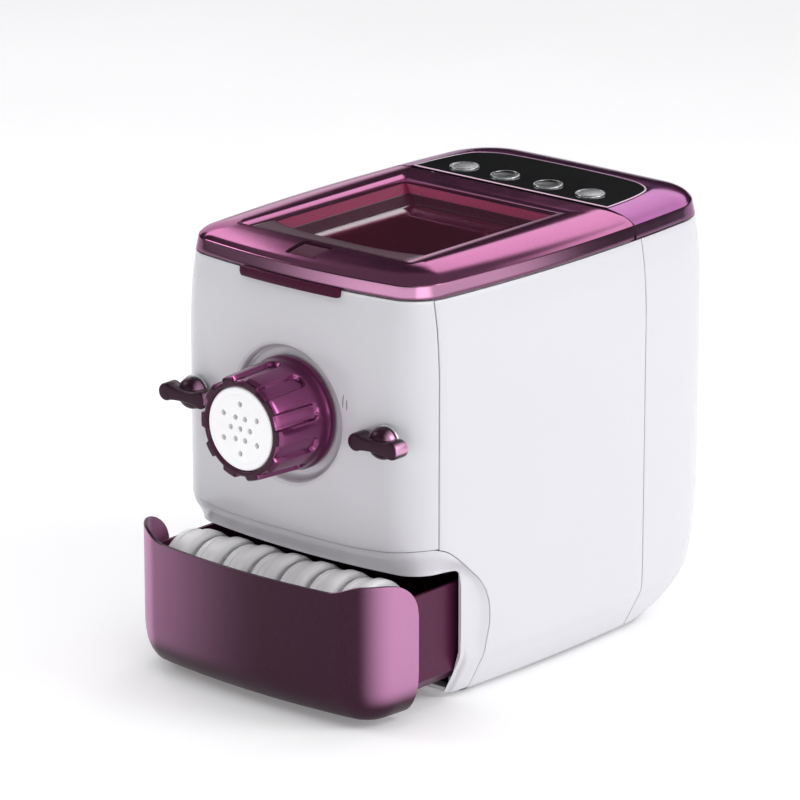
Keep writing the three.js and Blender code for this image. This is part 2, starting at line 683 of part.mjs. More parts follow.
// ---------------------------------------------------------------- gearbox, motor and electrics
const gearboxCase = box(-49, 49, 52, 95, MOTOR_Z - 16, AXIS_Z + 49)
  .subtract(box(-46, 46, 55, 96, MOTOR_Z - 13, AXIS_Z + 46))
  .subtract(cylY(7, 40, 60, 14, 0, AXIS_Z))
  .add(cylY(3, 54, 92, 10, 0, MID_Z));
const gearboxCover = box(-49, 49, 95.3, 98, MOTOR_Z - 16, AXIS_Z + 49).subtract(cylY(5, 90, 100, 12, 0, MOTOR_Z));
const motorBody = turnedY([[4.6, 98.4], [12, 98.4], [12, 101], [33, 101], [33, 150], [30, 154], [12, 154], [12, 157.6], [4.6, 157.6], [4.6, 98.4]], 24, 0, MOTOR_Z);
const powerBoard = box(-96, -94, 84, 146, 120, 200)
  .add(box(-94.5, -74, 92, 112, 128, 152))
  .add(box(-94.5, -80, 118, 140, 160, 184))
  .add(box(-94.5, -84, 92, 104, 164, 190));
const powerInlet = box(-15, 15, 153, 171.2, -11.5, 11.5)
  .add(box(-19.5, 19.5, 171.1, 173, -15, 15))
  .subtract(box(-12.2, 12.2, 157, 180, -8.4, 8.4))
  .add(box(-1, 1, 156, 168, 1.2, 4.6).add(box(-8, -6, 156, 168, -4.6, -1.2)).add(box(6, 8, 156, 168, -4.6, -1.2)));

// ---------------------------------------------------------------- drawer
const frontProfile = [];
for (let i = 0; i <= 20; i++) {
  const x = -100 + i * 10,
    u = Math.abs(x) / 100;
  frontProfile.push([x, DRAWER_TOP + (u > 0.75 ? 6.5 * Math.pow(Math.sin(((u - 0.75) / 0.25) * U), 2) : 0)]);
}
const frontOutline = [[-140, 0], [140, 0], [140, DRAWER_TOP + 6.5], ...frontProfile.slice().reverse(), [-140, DRAWER_TOP + 6.5]];
const drawerFront = frontBand(0)
  .subtract(frontBand(2.4))
  .intersect(alongX(wingCorner, -140, 140))
  .intersect(alongY(frontOutline, -200, -100))
  .add(frontBand(1).intersect(box(-140, 140, -200, -148, 4.6, 7.2)));
const trayFront = -180;
const traySection = (g, top) => [
  [-TRAY_X + g, top],
  [-TRAY_X + g, 22 + g * 0.4],
  [-TRAY_X + 7, 14 + g],
  [TRAY_X - 7, 14 + g],
  [TRAY_X - g, 22 + g * 0.4],
  [TRAY_X - g, top],
];
const drawerTray = alongY(traySection(0, 84), trayFront, -30)
  .intersect(frontBand(2.9))
  .subtract(alongY(traySection(2.4, 90), trayFront, -32.4).intersect(frontBand(5.3)));
const DIE_Y = -119,
  DIE_Z = 63.4;
const rackProfile = (() => {
  const pts = [[DIE_Y - 26, 16.7], [DIE_Y + 26, 16.7], [DIE_Y + 26, 45.4]];
  for (let i = 0; i <= 10; i++) {
    const t = (-35 * Math.PI) / 180 - (i / 10) * ((110 * Math.PI) / 180);
    pts.push([DIE_Y + 30.2 * Math.cos(t) * 0.999, DIE_Z + 30.2 * Math.sin(t)]);
  }
  pts.push([DIE_Y - 26, 45.4]);
  return pts;
})();
const dieRack = alongX(rackProfile, -98, 88)
  .add(box(85, 88, DIE_Y - 26, DIE_Y + 26, 16.7, 54))
  .intersect(alongY(traySection(2.9, 90), -160, -80))
  .intersect(frontBand(5.8));
const runner = (s) => (s > 0 ? box(84, 92, -92, 74, 6.4, 13.6) : box(-92, -84, -92, 74, 6.4, 13.6));

// ---------------------------------------------------------------- assembly
const paint = {
  white: new THREE.MeshStandardMaterial({ color: 0xe9e8ec, roughness: 0.28, metalness: 0 }),
  purple: new THREE.MeshStandardMaterial({ color: 0x8e3f78, roughness: 0.25, metalness: 0.55 }),
  dark: new THREE.MeshStandardMaterial({ color: 0x4a2340, roughness: 0.3, metalness: 0.4 }),
  black: new THREE.MeshStandardMaterial({ color: 0x101112, roughness: 0.12, metalness: 0 }),
  tint: new THREE.MeshStandardMaterial({ color: 0x5a1234, roughness: 0.08, metalness: 0, transparent: true, opacity: 0.5 }),
  chrome: new THREE.MeshStandardMaterial({ color: 0xc9ccd0, roughness: 0.2, metalness: 1 }),
  clear: new THREE.MeshStandardMaterial({ color: 0xdfe3e6, roughness: 0.2, metalness: 0 }),
  rubber: new THREE.MeshStandardMaterial({ color: 0x8b8c8f, roughness: 0.8, metalness: 0 }),
  steel: new THREE.MeshStandardMaterial({ color: 0x9a9da1, roughness: 0.4, metalness: 0.9 }),
  nylon: new THREE.MeshStandardMaterial({ color: 0xd8d4c8, roughness: 0.5, metalness: 0 }),
  board: new THREE.MeshStandardMaterial({ color: 0x1f5a34, roughness: 0.6, metalness: 0 }),
};
const machine = new THREE.Group();
machine.position.set(0, SHIFT_Y, 0);
const add = (group, name, m, material, x = 0, y = 0, z = 0, turn = null) => {
  const mesh = new THREE.Mesh(geometryOf(m), material);
  mesh.name = name;
  mesh.position.set(x, y, z);
  if (turn) mesh.rotation.set(...turn);
  group.add(mesh);
  return mesh;
};

const chassis = new THREE.Group();
add(chassis, "base_plate", pan, paint.white);
["foot_front_left", "foot_front_right", "foot_rear_left", "foot_rear_right"].forEach((n, i) =>
  add(chassis, n, foot, paint.rubber, FEET[i][0], FEET[i][1], 0),
);
["base_screw_1", "base_screw_2", "base_screw_3", "base_screw_4"].forEach((n, i) =>
  add(chassis, n, baseScrew, paint.steel, SCREWS[i][0], SCREWS[i][1], 3.3),
);
add(chassis, "left_side_panel", leftSidePanel, paint.white);
add(chassis, "right_side_panel", rightSidePanel, paint.white);
add(chassis, "rear_cover", rearCover, paint.white);
add(chassis, "front_fascia", frontFascia, paint.white);
add(chassis, "drawer_surround", drawerSurround, paint.white);
add(chassis, "top_frame", topFrame, paint.white);
add(chassis, "front_frame", frontFrame, paint.steel);
add(chassis, "left_stud", stud, paint.steel, -KNOB_X, 0, KNOB_Z);
add(chassis, "right_stud", stud, paint.steel, KNOB_X, 0, KNOB_Z);
add(chassis, "bulkhead", bulkhead, paint.steel);
add(chassis, "mixing_bowl", mixingBowl, paint.clear);
add(chassis, "extruder_barrel", barrel, paint.clear);
add(chassis, "deck_housing", deckHousing, paint.purple);
add(chassis, "control_panel", controlPanel, paint.black);
add(chassis, "control_board", controlBoard, paint.board);
add(chassis, "gearbox_case", gearboxCase, paint.steel);
add(chassis, "gearbox_cover", gearboxCover, paint.steel);
add(chassis, "motor_body", motorBody, paint.steel);
add(chassis, "power_board", powerBoard, paint.board);
add(chassis, "power_inlet", powerInlet, paint.black, INLET_X, 0, INLET_Z);
add(chassis, "left_drawer_runner", runner(-1), paint.nylon);
add(chassis, "right_drawer_runner", runner(1), paint.nylon);

const lid = new THREE.Group();
add(lid, "lid_frame", lidFrame, paint.purple);
add(lid, "lid_window", lidWindow, paint.tint);
add(lid, "lid_magnet_cap", lidCap, paint.dark);
add(lid, "lid_grip", lidGrip, paint.dark);

const drawer = new THREE.Group();
drawer.position.set(0, -DRAWER_OUT, 0);
add(drawer, "drawer_front", drawerFront, paint.purple);
add(drawer, "drawer_tray", drawerTray, paint.dark);
add(drawer, "die_rack", dieRack, paint.nylon);
for (let i = 0; i < 7; i++)
  add(drawer, "spare_die_" + (i + 1), spareDie, paint.clear, -85 + i * 26, DIE_Y, DIE_Z, [0, 0, -Math.PI / 2]);

const head = new THREE.Group();
head.position.set(0, 0, AXIS_Z);
add(head, "locking_nut", nut, paint.purple);
add(head, "installed_die", installedDie, paint.clear);

const knobs = new THREE.Group();
[-1, 1].forEach((s) => {
  const side = s < 0 ? "left" : "right";
  add(knobs, side + "_wing_knob", wingKnob, paint.purple, s * KNOB_X, 0, KNOB_Z);
  add(knobs, side + "_knob_washer", knobWasher, paint.steel, s * KNOB_X, 0, KNOB_Z);
});

const drive = new THREE.Group();
add(drive, "mixing_shaft", mixingShaft, paint.nylon);
add(drive, "auger_screw", augerScrew, paint.nylon);
add(drive, "output_gear", outputGear, paint.nylon);
add(drive, "intermediate_gear", midGear, paint.nylon);
add(drive, "motor_rotor", motorRotor, paint.steel);

const keys = new THREE.Group();
BUTTONS.forEach((x, i) => add(keys, "button_" + (i + 1), button, paint.chrome, x, BUTTON_Y, 0));

machine.add(chassis, lid, drawer, head, knobs, drive, keys);
export default machine;
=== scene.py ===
# Looks of the electric pasta maker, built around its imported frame.
# Sizes below are millimetres in the body's own frame (y = 0 at the middle of the body); mm() turns them into the frame's metres.
import math
import bpy
import bmesh
import numpy as np
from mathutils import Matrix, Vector


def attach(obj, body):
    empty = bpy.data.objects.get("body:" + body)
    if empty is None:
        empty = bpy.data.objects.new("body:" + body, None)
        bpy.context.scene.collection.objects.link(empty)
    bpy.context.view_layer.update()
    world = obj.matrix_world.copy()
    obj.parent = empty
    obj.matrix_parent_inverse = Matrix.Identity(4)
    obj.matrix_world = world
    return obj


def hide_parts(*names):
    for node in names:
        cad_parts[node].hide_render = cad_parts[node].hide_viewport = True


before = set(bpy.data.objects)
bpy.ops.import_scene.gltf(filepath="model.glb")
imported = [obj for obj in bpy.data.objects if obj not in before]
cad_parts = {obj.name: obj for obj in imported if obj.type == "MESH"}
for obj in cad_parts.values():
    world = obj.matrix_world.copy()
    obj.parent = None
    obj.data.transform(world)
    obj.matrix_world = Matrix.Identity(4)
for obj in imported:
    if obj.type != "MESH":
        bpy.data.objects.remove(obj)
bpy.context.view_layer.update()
SHIFT = 23.8

# ------------------------------------------------------------------ camera
CAM_AZ, CAM_EL, CAM_DIST = math.radians(40.84), math.radians(17.76), 3.50365


def make_camera():
    sa, ca, se, ce = math.sin(CAM_AZ), math.cos(CAM_AZ), math.sin(CAM_EL), math.cos(CAM_EL)
    back = Vector((sa * ce, -ca * ce, se))
    right = Vector((ca, sa, 0))
    up = back.cross(right)
    target = Vector((0, -0.0322, 0.150))
    at = target + back * CAM_DIST
    aim = target + up * 0.02514 + right * 0.001455
    cam = bpy.data.cameras.new("camera")
    cam.sensor_width = 36.0
    cam.lens = 228.6
    cam.clip_end = 30.0
    ob = bpy.data.objects.new("camera", cam)
    bpy.context.scene.collection.objects.link(ob)
    ob.location = at
    ob.rotation_euler = (aim - at).to_track_quat("-Z", "Y").to_euler()
    bpy.context.scene.camera = ob


make_camera()

# ------------------------------------------------------------------ numbers shared with the frame
A, YF, YR = 121.4, -171.0, 171.0
RIM_Z, LID_Z0, TOP_Z = 286.4, 287.4, 304.7
SEAM_F, SEAM_R, GAP = -142.2, 67.0, 0.35
AXIS_Z, DISH_R = 194.0, 46.6
LIP_Z, SURR_Y = 94.4, -120.0
OUT = 50.0
HINGE_Y, HINGE_Z, HINGE_R = 56.0, 300.0, 4.9
KNOB_X, KNOB_Z = 86.0, 191.0


def pchip(xs, ys):
    """Monotone cubic through the points, flat outside them."""
    xs, ys = np.asarray(xs, float), np.asarray(ys, float)
    h, d = np.diff(xs), np.diff(ys) / np.diff(xs)
    m = np.zeros(len(xs))
    for i in range(1, len(xs) - 1):
        if d[i - 1] * d[i] > 0:
            w1, w2 = 2 * h[i] + h[i - 1], h[i] + 2 * h[i - 1]
            m[i] = (w1 + w2) / (w1 / d[i - 1] + w2 / d[i])
    m[0], m[-1] = d[0], d[-1]

    def f(x):
        x = np.clip(np.asarray(x, float), xs[0], xs[-1])
        i = np.clip(np.searchsorted(xs, x, side="right") - 1, 0, len(xs) - 2)
        t = (x - xs[i]) / h[i]
        return (
            ys[i] * (1 + 2 * t) * (1 - t) ** 2
            + m[i] * h[i] * t * (1 - t) ** 2
            + ys[i + 1] * t * t * (3 - 2 * t)
            + m[i + 1] * h[i] * t * t * (t - 1)
        )

    return f


LV = [(2.6, 16.6, 16.6, 66), (10, 12.6, 12.6, 42), (22, 6.2, 6.2, 24), (35, 0.6, 0.6, 13.5), (60, 0, 0, 4), (100, 0, 0, 0), (232, 0, 0, 0), (262, 1.6, 1.6, 1.6), (286.4, 5.2, 5.2, 5.2)]
IN_S = pchip([l[0] for l in LV], [l[1] for l in LV])
IN_F = pchip([l[0] for l in LV], [l[2] for l in LV])
IN_R = pchip([l[0] for l in LV], [l[3] for l in LV])
BAND = pchip([4.6, 7, 10.5, 15, 20, 27, 36, 60, 112], [16, 11.6, 8, 4.9, 2.7, 1.1, 0.4, 0.4, 0.4])
CROWN = pchip([7.9, 11.5, 20, 36, 60], [296.6, 299.6, 302.6, 304.7, 304.7])
WAVE = pchip([0, 50, 75, 95, 113, 140], [112, 111.2, 112, 114, 115.2, 115.2])


def ringpt(q, ds, df, dr, soft=0.0):
    """Point of the right half of the body's outline: q is 0 at the front centre, 1-2 the front corner, 2-3 the side, 3-4 the rear corner, 5 the rear centre."""
    q, ds, df, dr = np.broadcast_arrays(*[np.asarray(v, float) for v in (q, ds, df, dr)])
    a, yf, yr = A - ds, YF + df, YR - dr
    sh = np.minimum(np.minimum(ds, df), dr)
    rf, rr = np.maximum(6, 28.7 - sh + soft * np.maximum(0, sh - 7.9)), np.maximum(10, 50 - sh)
    h = math.pi / 2
    x = np.where(q < 1, (a - rf) * q, 0.0)
    y = np.where(q < 1, yf, 0.0)
    k = (q >= 1) & (q < 2)
    t = -h + (q - 1) * h
    x = np.where(k, a - rf + rf * np.cos(t), x)
    y = np.where(k, yf + rf + rf * np.sin(t), y)
    k = (q >= 2) & (q < 3)
    x = np.where(k, a, x)
    y = np.where(k, (yf + rf) + (yr - rr - yf - rf) * (q - 2), y)
    k = (q >= 3) & (q < 4)
    t = (q - 3) * h
    x = np.where(k, a - rr + rr * np.cos(t), x)
    y = np.where(k, yr - rr + rr * np.sin(t), y)
    k = q >= 4
    x = np.where(k, (a - rr) * (5 - q), x)
    y = np.where(k, yr, y)
    s, u = np.minimum(1, np.abs(y) / 171.0), np.abs(x) / A
    return x - 11.4 * s * s * u, np.where(y < 0, y + 11.7 * u * u * s, y - 3 * u * u * s)


def body_pt(q, z, extra=0.0):
    return ringpt(q, IN_S(z) + extra, IN_F(z) + extra, IN_R(z) + extra)


def solve(f, target, lo, hi, like):
    """q where f(q) = target, f rising, by halving."""
    lo = np.full(np.shape(like), float(lo))
    hi = np.full(np.shape(like), float(hi))
    for _ in range(34):
        m = (lo + hi) / 2
        big = f(m) > target
        hi = np.where(big, m, hi)
        lo = np.where(big, lo, m)
    return (lo + hi) / 2


def q_at_y(y, z, extra=0.0):
    y, z = np.broadcast_arrays(np.asarray(y, float), np.asarray(z, float))
    return solve(lambda q: body_pt(q, z, extra)[1], y, 0.02, 5, y)


def q_at_x_front(x, z, extra=0.0):
    x, z = np.broadcast_arrays(np.asarray(x, float), np.asarray(z, float))
    return solve(lambda q: body_pt(q, z, extra)[0], np.abs(x), 0, 1.98, x)


# ------------------------------------------------------------------ mesh helpers
def mm(v):
    v = np.array(v, float).reshape(-1, 3)
    v[:, 1] += SHIFT
    return v / 1000.0


def new_object(name, verts, faces, mats, body, slot, node=None, smooth=True, index=None, sharp=None, flip=None):
    me = bpy.data.meshes.new(name)
    me.from_pydata(mm(verts).tolist(), [], faces)
    for m in mats if isinstance(mats, (list, tuple)) else [mats]:
        me.materials.append(m)
    if index is not None:
        me.polygons.foreach_set("material_index", list(index))
    me.update()
    ob = bpy.data.objects.new(name, me)
    bpy.context.scene.collection.objects.link(ob)
    if flip is not None:
        turn_outward(me, flip)
    me.polygons.foreach_set("use_smooth", [smooth] * len(me.polygons))
    if sharp:
        me.set_sharp_from_angle(angle=math.radians(sharp))
    ob["_body"] = body
    ob["_slot"] = slot
    ob["_node"] = node or ""
    return ob


def turn_outward(me, mode):
    bm = bmesh.new()
    bm.from_mesh(me)
    bmesh.ops.remove_doubles(bm, verts=bm.verts, dist=2e-6)
    bmesh.ops.recalc_face_normals(bm, faces=bm.faces)
    if mode != "closed":
        # an open skin: its normals point away from the given point
        c = Vector(mm(mode)[0].tolist())
        s = sum((f.calc_center_median() - c).normalized().dot(f.normal) * f.calc_area() for f in bm.faces)
        if s < 0:
            bmesh.ops.reverse_faces(bm, faces=bm.faces)
    bm.to_mesh(me)
    bm.free()
    me.update()


def grid_faces(n, m, cu=False, cv=False, start=0):
    """Quads of an n by m grid of points, closed in u (first index) or v when asked."""
    out = []
    for i in range(n if cu else n - 1):
        for j in range(m if cv else m - 1):
            a, b = i * m + j, ((i + 1) % n) * m + j
            c, d = ((i + 1) % n) * m + (j + 1) % m, i * m + (j + 1) % m
            out.append((start + a, start + b, start + c, start + d))
    return out


def cap_face(idx):
    return tuple(idx)


def apply_mods(ob, sharp=None):
    bpy.context.view_layer.update()
    dg = bpy.context.evaluated_depsgraph_get()
    me = bpy.data.meshes.new_from_object(ob.evaluated_get(dg))
    ob.modifiers.clear()
    old = ob.data
    ob.data = me
    bpy.data.meshes.remove(old)
    me.polygons.foreach_set("use_smooth", [True] * len(me.polygons))
    if sharp:
        me.set_sharp_from_angle(angle=math.radians(sharp))
    return ob


def solidify(ob, t, offset=-1.0):
    m = ob.modifiers.new("thick", "SOLIDIFY")
    m.thickness = t / 1000
    m.offset = offset
    m.use_even_offset = True
    return m


def bevel(ob, w, seg=2, angle=35):
    m = ob.modifiers.new("edge", "BEVEL")
    m.width = w / 1000
    m.segments = seg
    m.limit_method = "ANGLE"
    m.angle_limit = math.radians(angle)
    m.use_clamp_overlap = True
    m.harden_normals = False
    return m


def cutter(name, verts, faces):
    me = bpy.data.meshes.new(name)
    me.from_pydata(mm(verts).tolist(), [], faces)
    turn_outward(me, "closed")
    ob = bpy.data.objects.new(name, me)
    bpy.context.scene.collection.objects.link(ob)
    return ob


def cut(ob, *cutters):
    for c in cutters:
        m = ob.modifiers.new("cut", "BOOLEAN")
        m.operation = "DIFFERENCE"
        m.object = c
        m.solver = "EXACT"
    apply_mods(ob)
    for c in cutters:
        me = c.data
        bpy.data.objects.remove(c)
        bpy.data.meshes.remove(me)
    return ob


def box_mesh(x0, x1, y0, y1, z0, z1):
    v = [(x, y, z) for x in (x0, x1) for y in (y0, y1) for z in (z0, z1)]
    f = [(0, 1, 3, 2), (4, 6, 7, 5), (0, 4, 5, 1), (2, 3, 7, 6), (0, 2, 6, 4), (1, 5, 7, 3)]
    return v, f


def prism_y(pts, y0, y1):
    n = len(pts)
    v = [(x, y0, z) for x, z in pts] + [(x, y1, z) for x, z in pts]
    f = [tuple(range(n)), tuple(range(2 * n - 1, n - 1, -1))] + [(i, n + i, n + (i + 1) % n, (i + 1) % n) for i in range(n)]
    return v, f


def prism_z(pts, z0, z1):
    n = len(pts)
    v = [(x, y, z0) for x, y in pts] + [(x, y, z1) for x, y in pts]
    f = [tuple(range(n)), tuple(range(2 * n - 1, n - 1, -1))] + [(i, n + i, n + (i + 1) % n, (i + 1) % n) for i in range(n)]
    return v, f


def rounded(points, r, seg=5):
    """Polygon [(a, b)] with each corner rounded to radius r (a number or one per corner)."""
    out, n = [], len(points)
    for i in range(n):
        p0, p1, p2 = (np.array(points[(i + k) % n], float) for k in (-1, 0, 1))
        rad = r[i] if isinstance(r, (list, tuple)) else r
        u, w = p0 - p1, p2 - p1
        lu, lw = np.linalg.norm(u), np.linalg.norm(w)
        u, w = u / lu, w / lw
        ang = math.acos(max(-1, min(1, float(u @ w))))
        cutlen = min(rad / math.tan(ang / 2), lu * 0.48, lw * 0.48) if rad > 0 else 0
        if cutlen < 1e-6:
            out.append(tuple(p1))
            continue
        a, b = p1 + u * cutlen, p1 + w * cutlen
        for k in range(seg + 1):
            t = k / seg
            out.append(tuple((1 - t) ** 2 * a + 2 * t * (1 - t) * p1 + t * t * b))
    return out


def profile_round(pts, r, seg=3):
    """Open [radius, y] profile with its inner corners rounded."""
    out = [tuple(pts[0])]
    for i in range(1, len(pts) - 1):
        p0, p1, p2 = (np.array(p, float) for p in pts[i - 1 : i + 2])
        u, w = p0 - p1, p2 - p1
        lu, lw = np.linalg.norm(u), np.linalg.norm(w)
        rad = r[i] if isinstance(r, (list, tuple)) else r
        k = min(rad, lu * 0.45, lw * 0.45)
        if k < 0.02:
            out.append(tuple(p1))
            continue
        a, b = p1 + u / lu * k, p1 + w / lw * k
        for j in range(seg + 1):
            t = j / seg
            out.append(tuple((1 - t) ** 2 * a + 2 * t * (1 - t) * p1 + t * t * b))
    out.append(tuple(pts[-1]))
    return out


def lathe_y(profile, seg, cx=0.0, cz=0.0, modulate=None, closed=False, phase=0.0):
    """Turned skin about an axis along Y through (cx, cz). modulate(r, y, angle) changes the radius."""
    p = np.array(profile, float)
    t = phase + np.arange(seg) * 2 * math.pi / seg
    R = np.repeat(p[None, :, 0], seg, 0)
    Y = np.repeat(p[None, :, 1], seg, 0)
    T = np.repeat(t[:, None], len(p), 1)
    if modulate is not None:
        R = modulate(R, Y, T)
    V = np.stack([cx + R * np.cos(T), Y, cz + R * np.sin(T)], -1)
    return V.reshape(-1, 3).tolist(), grid_faces(seg, len(p), cu=True, cv=closed)


def lathe_z(profile, seg, cx=0.0, cy=0.0):
    p = np.array(profile, float)
    t = np.arange(seg) * 2 * math.pi / seg
    V = np.stack([cx + p[None, :, 0] * np.cos(t)[:, None], cy + p[None, :, 0] * np.sin(t)[:, None], np.repeat(p[None, :, 1], seg, 0)], -1)
    return V.reshape(-1, 3).tolist(), grid_faces(seg, len(p), cu=True)


def lathe_x(profile, seg, cy=0.0, cz=0.0):
    p = np.array(profile, float)
    t = np.arange(seg) * 2 * math.pi / seg
    V = np.stack([np.repeat(p[None, :, 1], seg, 0), cy + p[None, :, 0] * np.cos(t)[:, None], cz + p[None, :, 0] * np.sin(t)[:, None]], -1)
    return V.reshape(-1, 3).tolist(), grid_faces(seg, len(p), cu=True)


def merge(parts):
    V, F, I = [], [], []
    for k, (v, f) in enumerate(parts):
        s = len(V)
        V += list(map(tuple, v))
        F += [tuple(i + s for i in q) for q in f]
        I += [k] * len(f)
    return V, F, I


def mirror(v, f):
    return [(-x, y, z) for x, y, z in v], [tuple(reversed(q)) for q in f]


# ------------------------------------------------------------------ materials
def material(name, color, rough, metal=0.0, coat=0.0, coat_rough=0.04, spec=0.5, ior=1.46, transmission=0.0, alpha=1.0):
    m = bpy.data.materials.new(name)
    m.use_nodes = True
    nt = m.node_tree
    b = nt.nodes["Principled BSDF"]
    b.inputs["Base Color"].default_value = (*color, 1)
    b.inputs["Roughness"].default_value = rough
    b.inputs["Metallic"].default_value = metal
    b.inputs["Coat Weight"].default_value = coat
    b.inputs["Coat Roughness"].default_value = coat_rough
    b.inputs["Specular IOR Level"].default_value = spec
    b.inputs["IOR"].default_value = ior
    b.inputs["Transmission Weight"].default_value = transmission
    b.inputs["Alpha"].default_value = alpha
    return m, nt, b


def coords(nt, scale=(1, 1, 1), kind="Object"):
    tc = nt.nodes.new("ShaderNodeTexCoord")
    mp = nt.nodes.new("ShaderNodeMapping")
    mp.inputs["Scale"].default_value = scale
    nt.links.new(tc.outputs[kind], mp.inputs["Vector"])
    return mp.outputs["Vector"]


def noise(nt, vec, scale, detail=2.0, rough=0.5):
    n = nt.nodes.new("ShaderNodeTexNoise")
    n.inputs["Scale"].default_value = scale
    n.inputs["Detail"].default_value = detail
    n.inputs["Roughness"].default_value = rough
    nt.links.new(vec, n.inputs["Vector"])
    return n.outputs["Fac"]


def ramp(nt, fac, stops, interp="LINEAR"):
    r = nt.nodes.new("ShaderNodeValToRGB")
    r.color_ramp.interpolation = interp
    e = r.color_ramp.elements
    while len(e) < len(stops):
        e.new(0.5)
    for el, (p, c) in zip(e, stops):
        el.position = p
        el.color = (*c, 1) if len(c) == 3 else c
    nt.links.new(fac, r.inputs["Fac"])
    return r.outputs["Color"]


def maprange(nt, fac, a, b, c, d):
    r = nt.nodes.new("ShaderNodeMapRange")
    for k, v in zip(("From Min", "From Max", "To Min", "To Max"), (a, b, c, d)):
        r.inputs[k].default_value = v
    nt.links.new(fac, r.inputs["Value"])
    return r.outputs["Result"]


def bump(nt, b, height, strength, distance):
    n = nt.nodes.new("ShaderNodeBump")
    n.inputs["Strength"].default_value = strength
    n.inputs["Distance"].default_value = distance
    nt.links.new(height, n.inputs["Height"])
    nt.links.new(n.outputs["Normal"], b.inputs["Normal"])


def mix_rgb(nt, fac, a, b2, mode="MIX"):
    n = nt.nodes.new("ShaderNodeMix")
    n.data_type = "RGBA"
    n.blend_type = mode
    if isinstance(fac, float):
        n.inputs[0].default_value = fac
    else:
        nt.links.new(fac, n.inputs[0])
    for s, v in ((6, a), (7, b2)):
        if isinstance(v, tuple):
            n.inputs[s].default_value = (*v, 1)
        else:
            nt.links.new(v, n.inputs[s])
    return n.outputs[2]


def plastic(name, c, rough, var=0.02, coat=0.0, grain=0.015, scale=1400, **kw):
    """Moulded plastic: faint colour drift, uneven gloss and a fine moulded grain."""
    m, nt, b = material(name, c, rough, coat=coat, **kw)
    v = coords(nt)
    drift = noise(nt, v, 9.0, 3)
    lo = tuple(max(0, k * (1 - var)) for k in c)
    hi = tuple(min(1, k * (1 + var)) for k in c)
    nt.links.new(ramp(nt, drift, [(0.35, lo), (0.65, hi)]), b.inputs["Base Color"])
    nt.links.new(maprange(nt, noise(nt, v, 38.0, 4), 0.3, 0.7, rough * 0.96, rough * 1.05), b.inputs["Roughness"])
    bump(nt, b, noise(nt, v, scale, 2), grain, 0.0004)
    return m


def lacquer(name, base, dark, metal, rough, coat=1.0, spec=0.5, tint=None, side_sheen=None):
    """Metallic lacquer: pigment with fine bright flakes under a clear coat. Where a paler side colour is given, faces
    that stand upright take it, a painted sheen.
    """
    m, nt, b = material(name, base, rough, metal=metal, coat=coat, coat_rough=0.05, spec=spec)
    if tint:
        b.inputs["Specular Tint"].default_value = (*tint, 1)
    v = coords(nt)
    flakes = nt.nodes.new("ShaderNodeTexVoronoi")
    flakes.inputs["Scale"].default_value = 2600
    nt.links.new(v, flakes.inputs["Vector"])
    sep = nt.nodes.new("ShaderNodeSeparateColor")
    nt.links.new(flakes.outputs["Color"], sep.inputs["Color"])
    flake = ramp(nt, sep.outputs["Red"], [(0.0, tuple(0.9 * k for k in base)), (0.8, base), (1.0, tuple(min(1, 1.18 * k + 0.015) for k in base))])
    drift = noise(nt, v, 6.0, 2)
    colour = mix_rgb(nt, maprange(nt, drift, 0.35, 0.65, 0.0, 0.18), flake, dark)
    # upright faces take the paler colour: painted sheen
    if side_sheen:
        geo = nt.nodes.new("ShaderNodeTexCoord")
        up = nt.nodes.new("ShaderNodeSeparateXYZ")
        nt.links.new(geo.outputs["Normal"], up.inputs[0])
        colour = mix_rgb(nt, maprange(nt, up.outputs["Z"], 0.30, 0.60, 1.0, 0.0), colour, side_sheen)
    nt.links.new(colour, b.inputs["Base Color"])
    nt.links.new(maprange(nt, noise(nt, v, 60.0, 3), 0.3, 0.7, rough * 0.9, rough * 1.12), b.inputs["Roughness"])
    bump(nt, b, noise(nt, v, 1800, 2), 0.02, 0.0003)
    return m


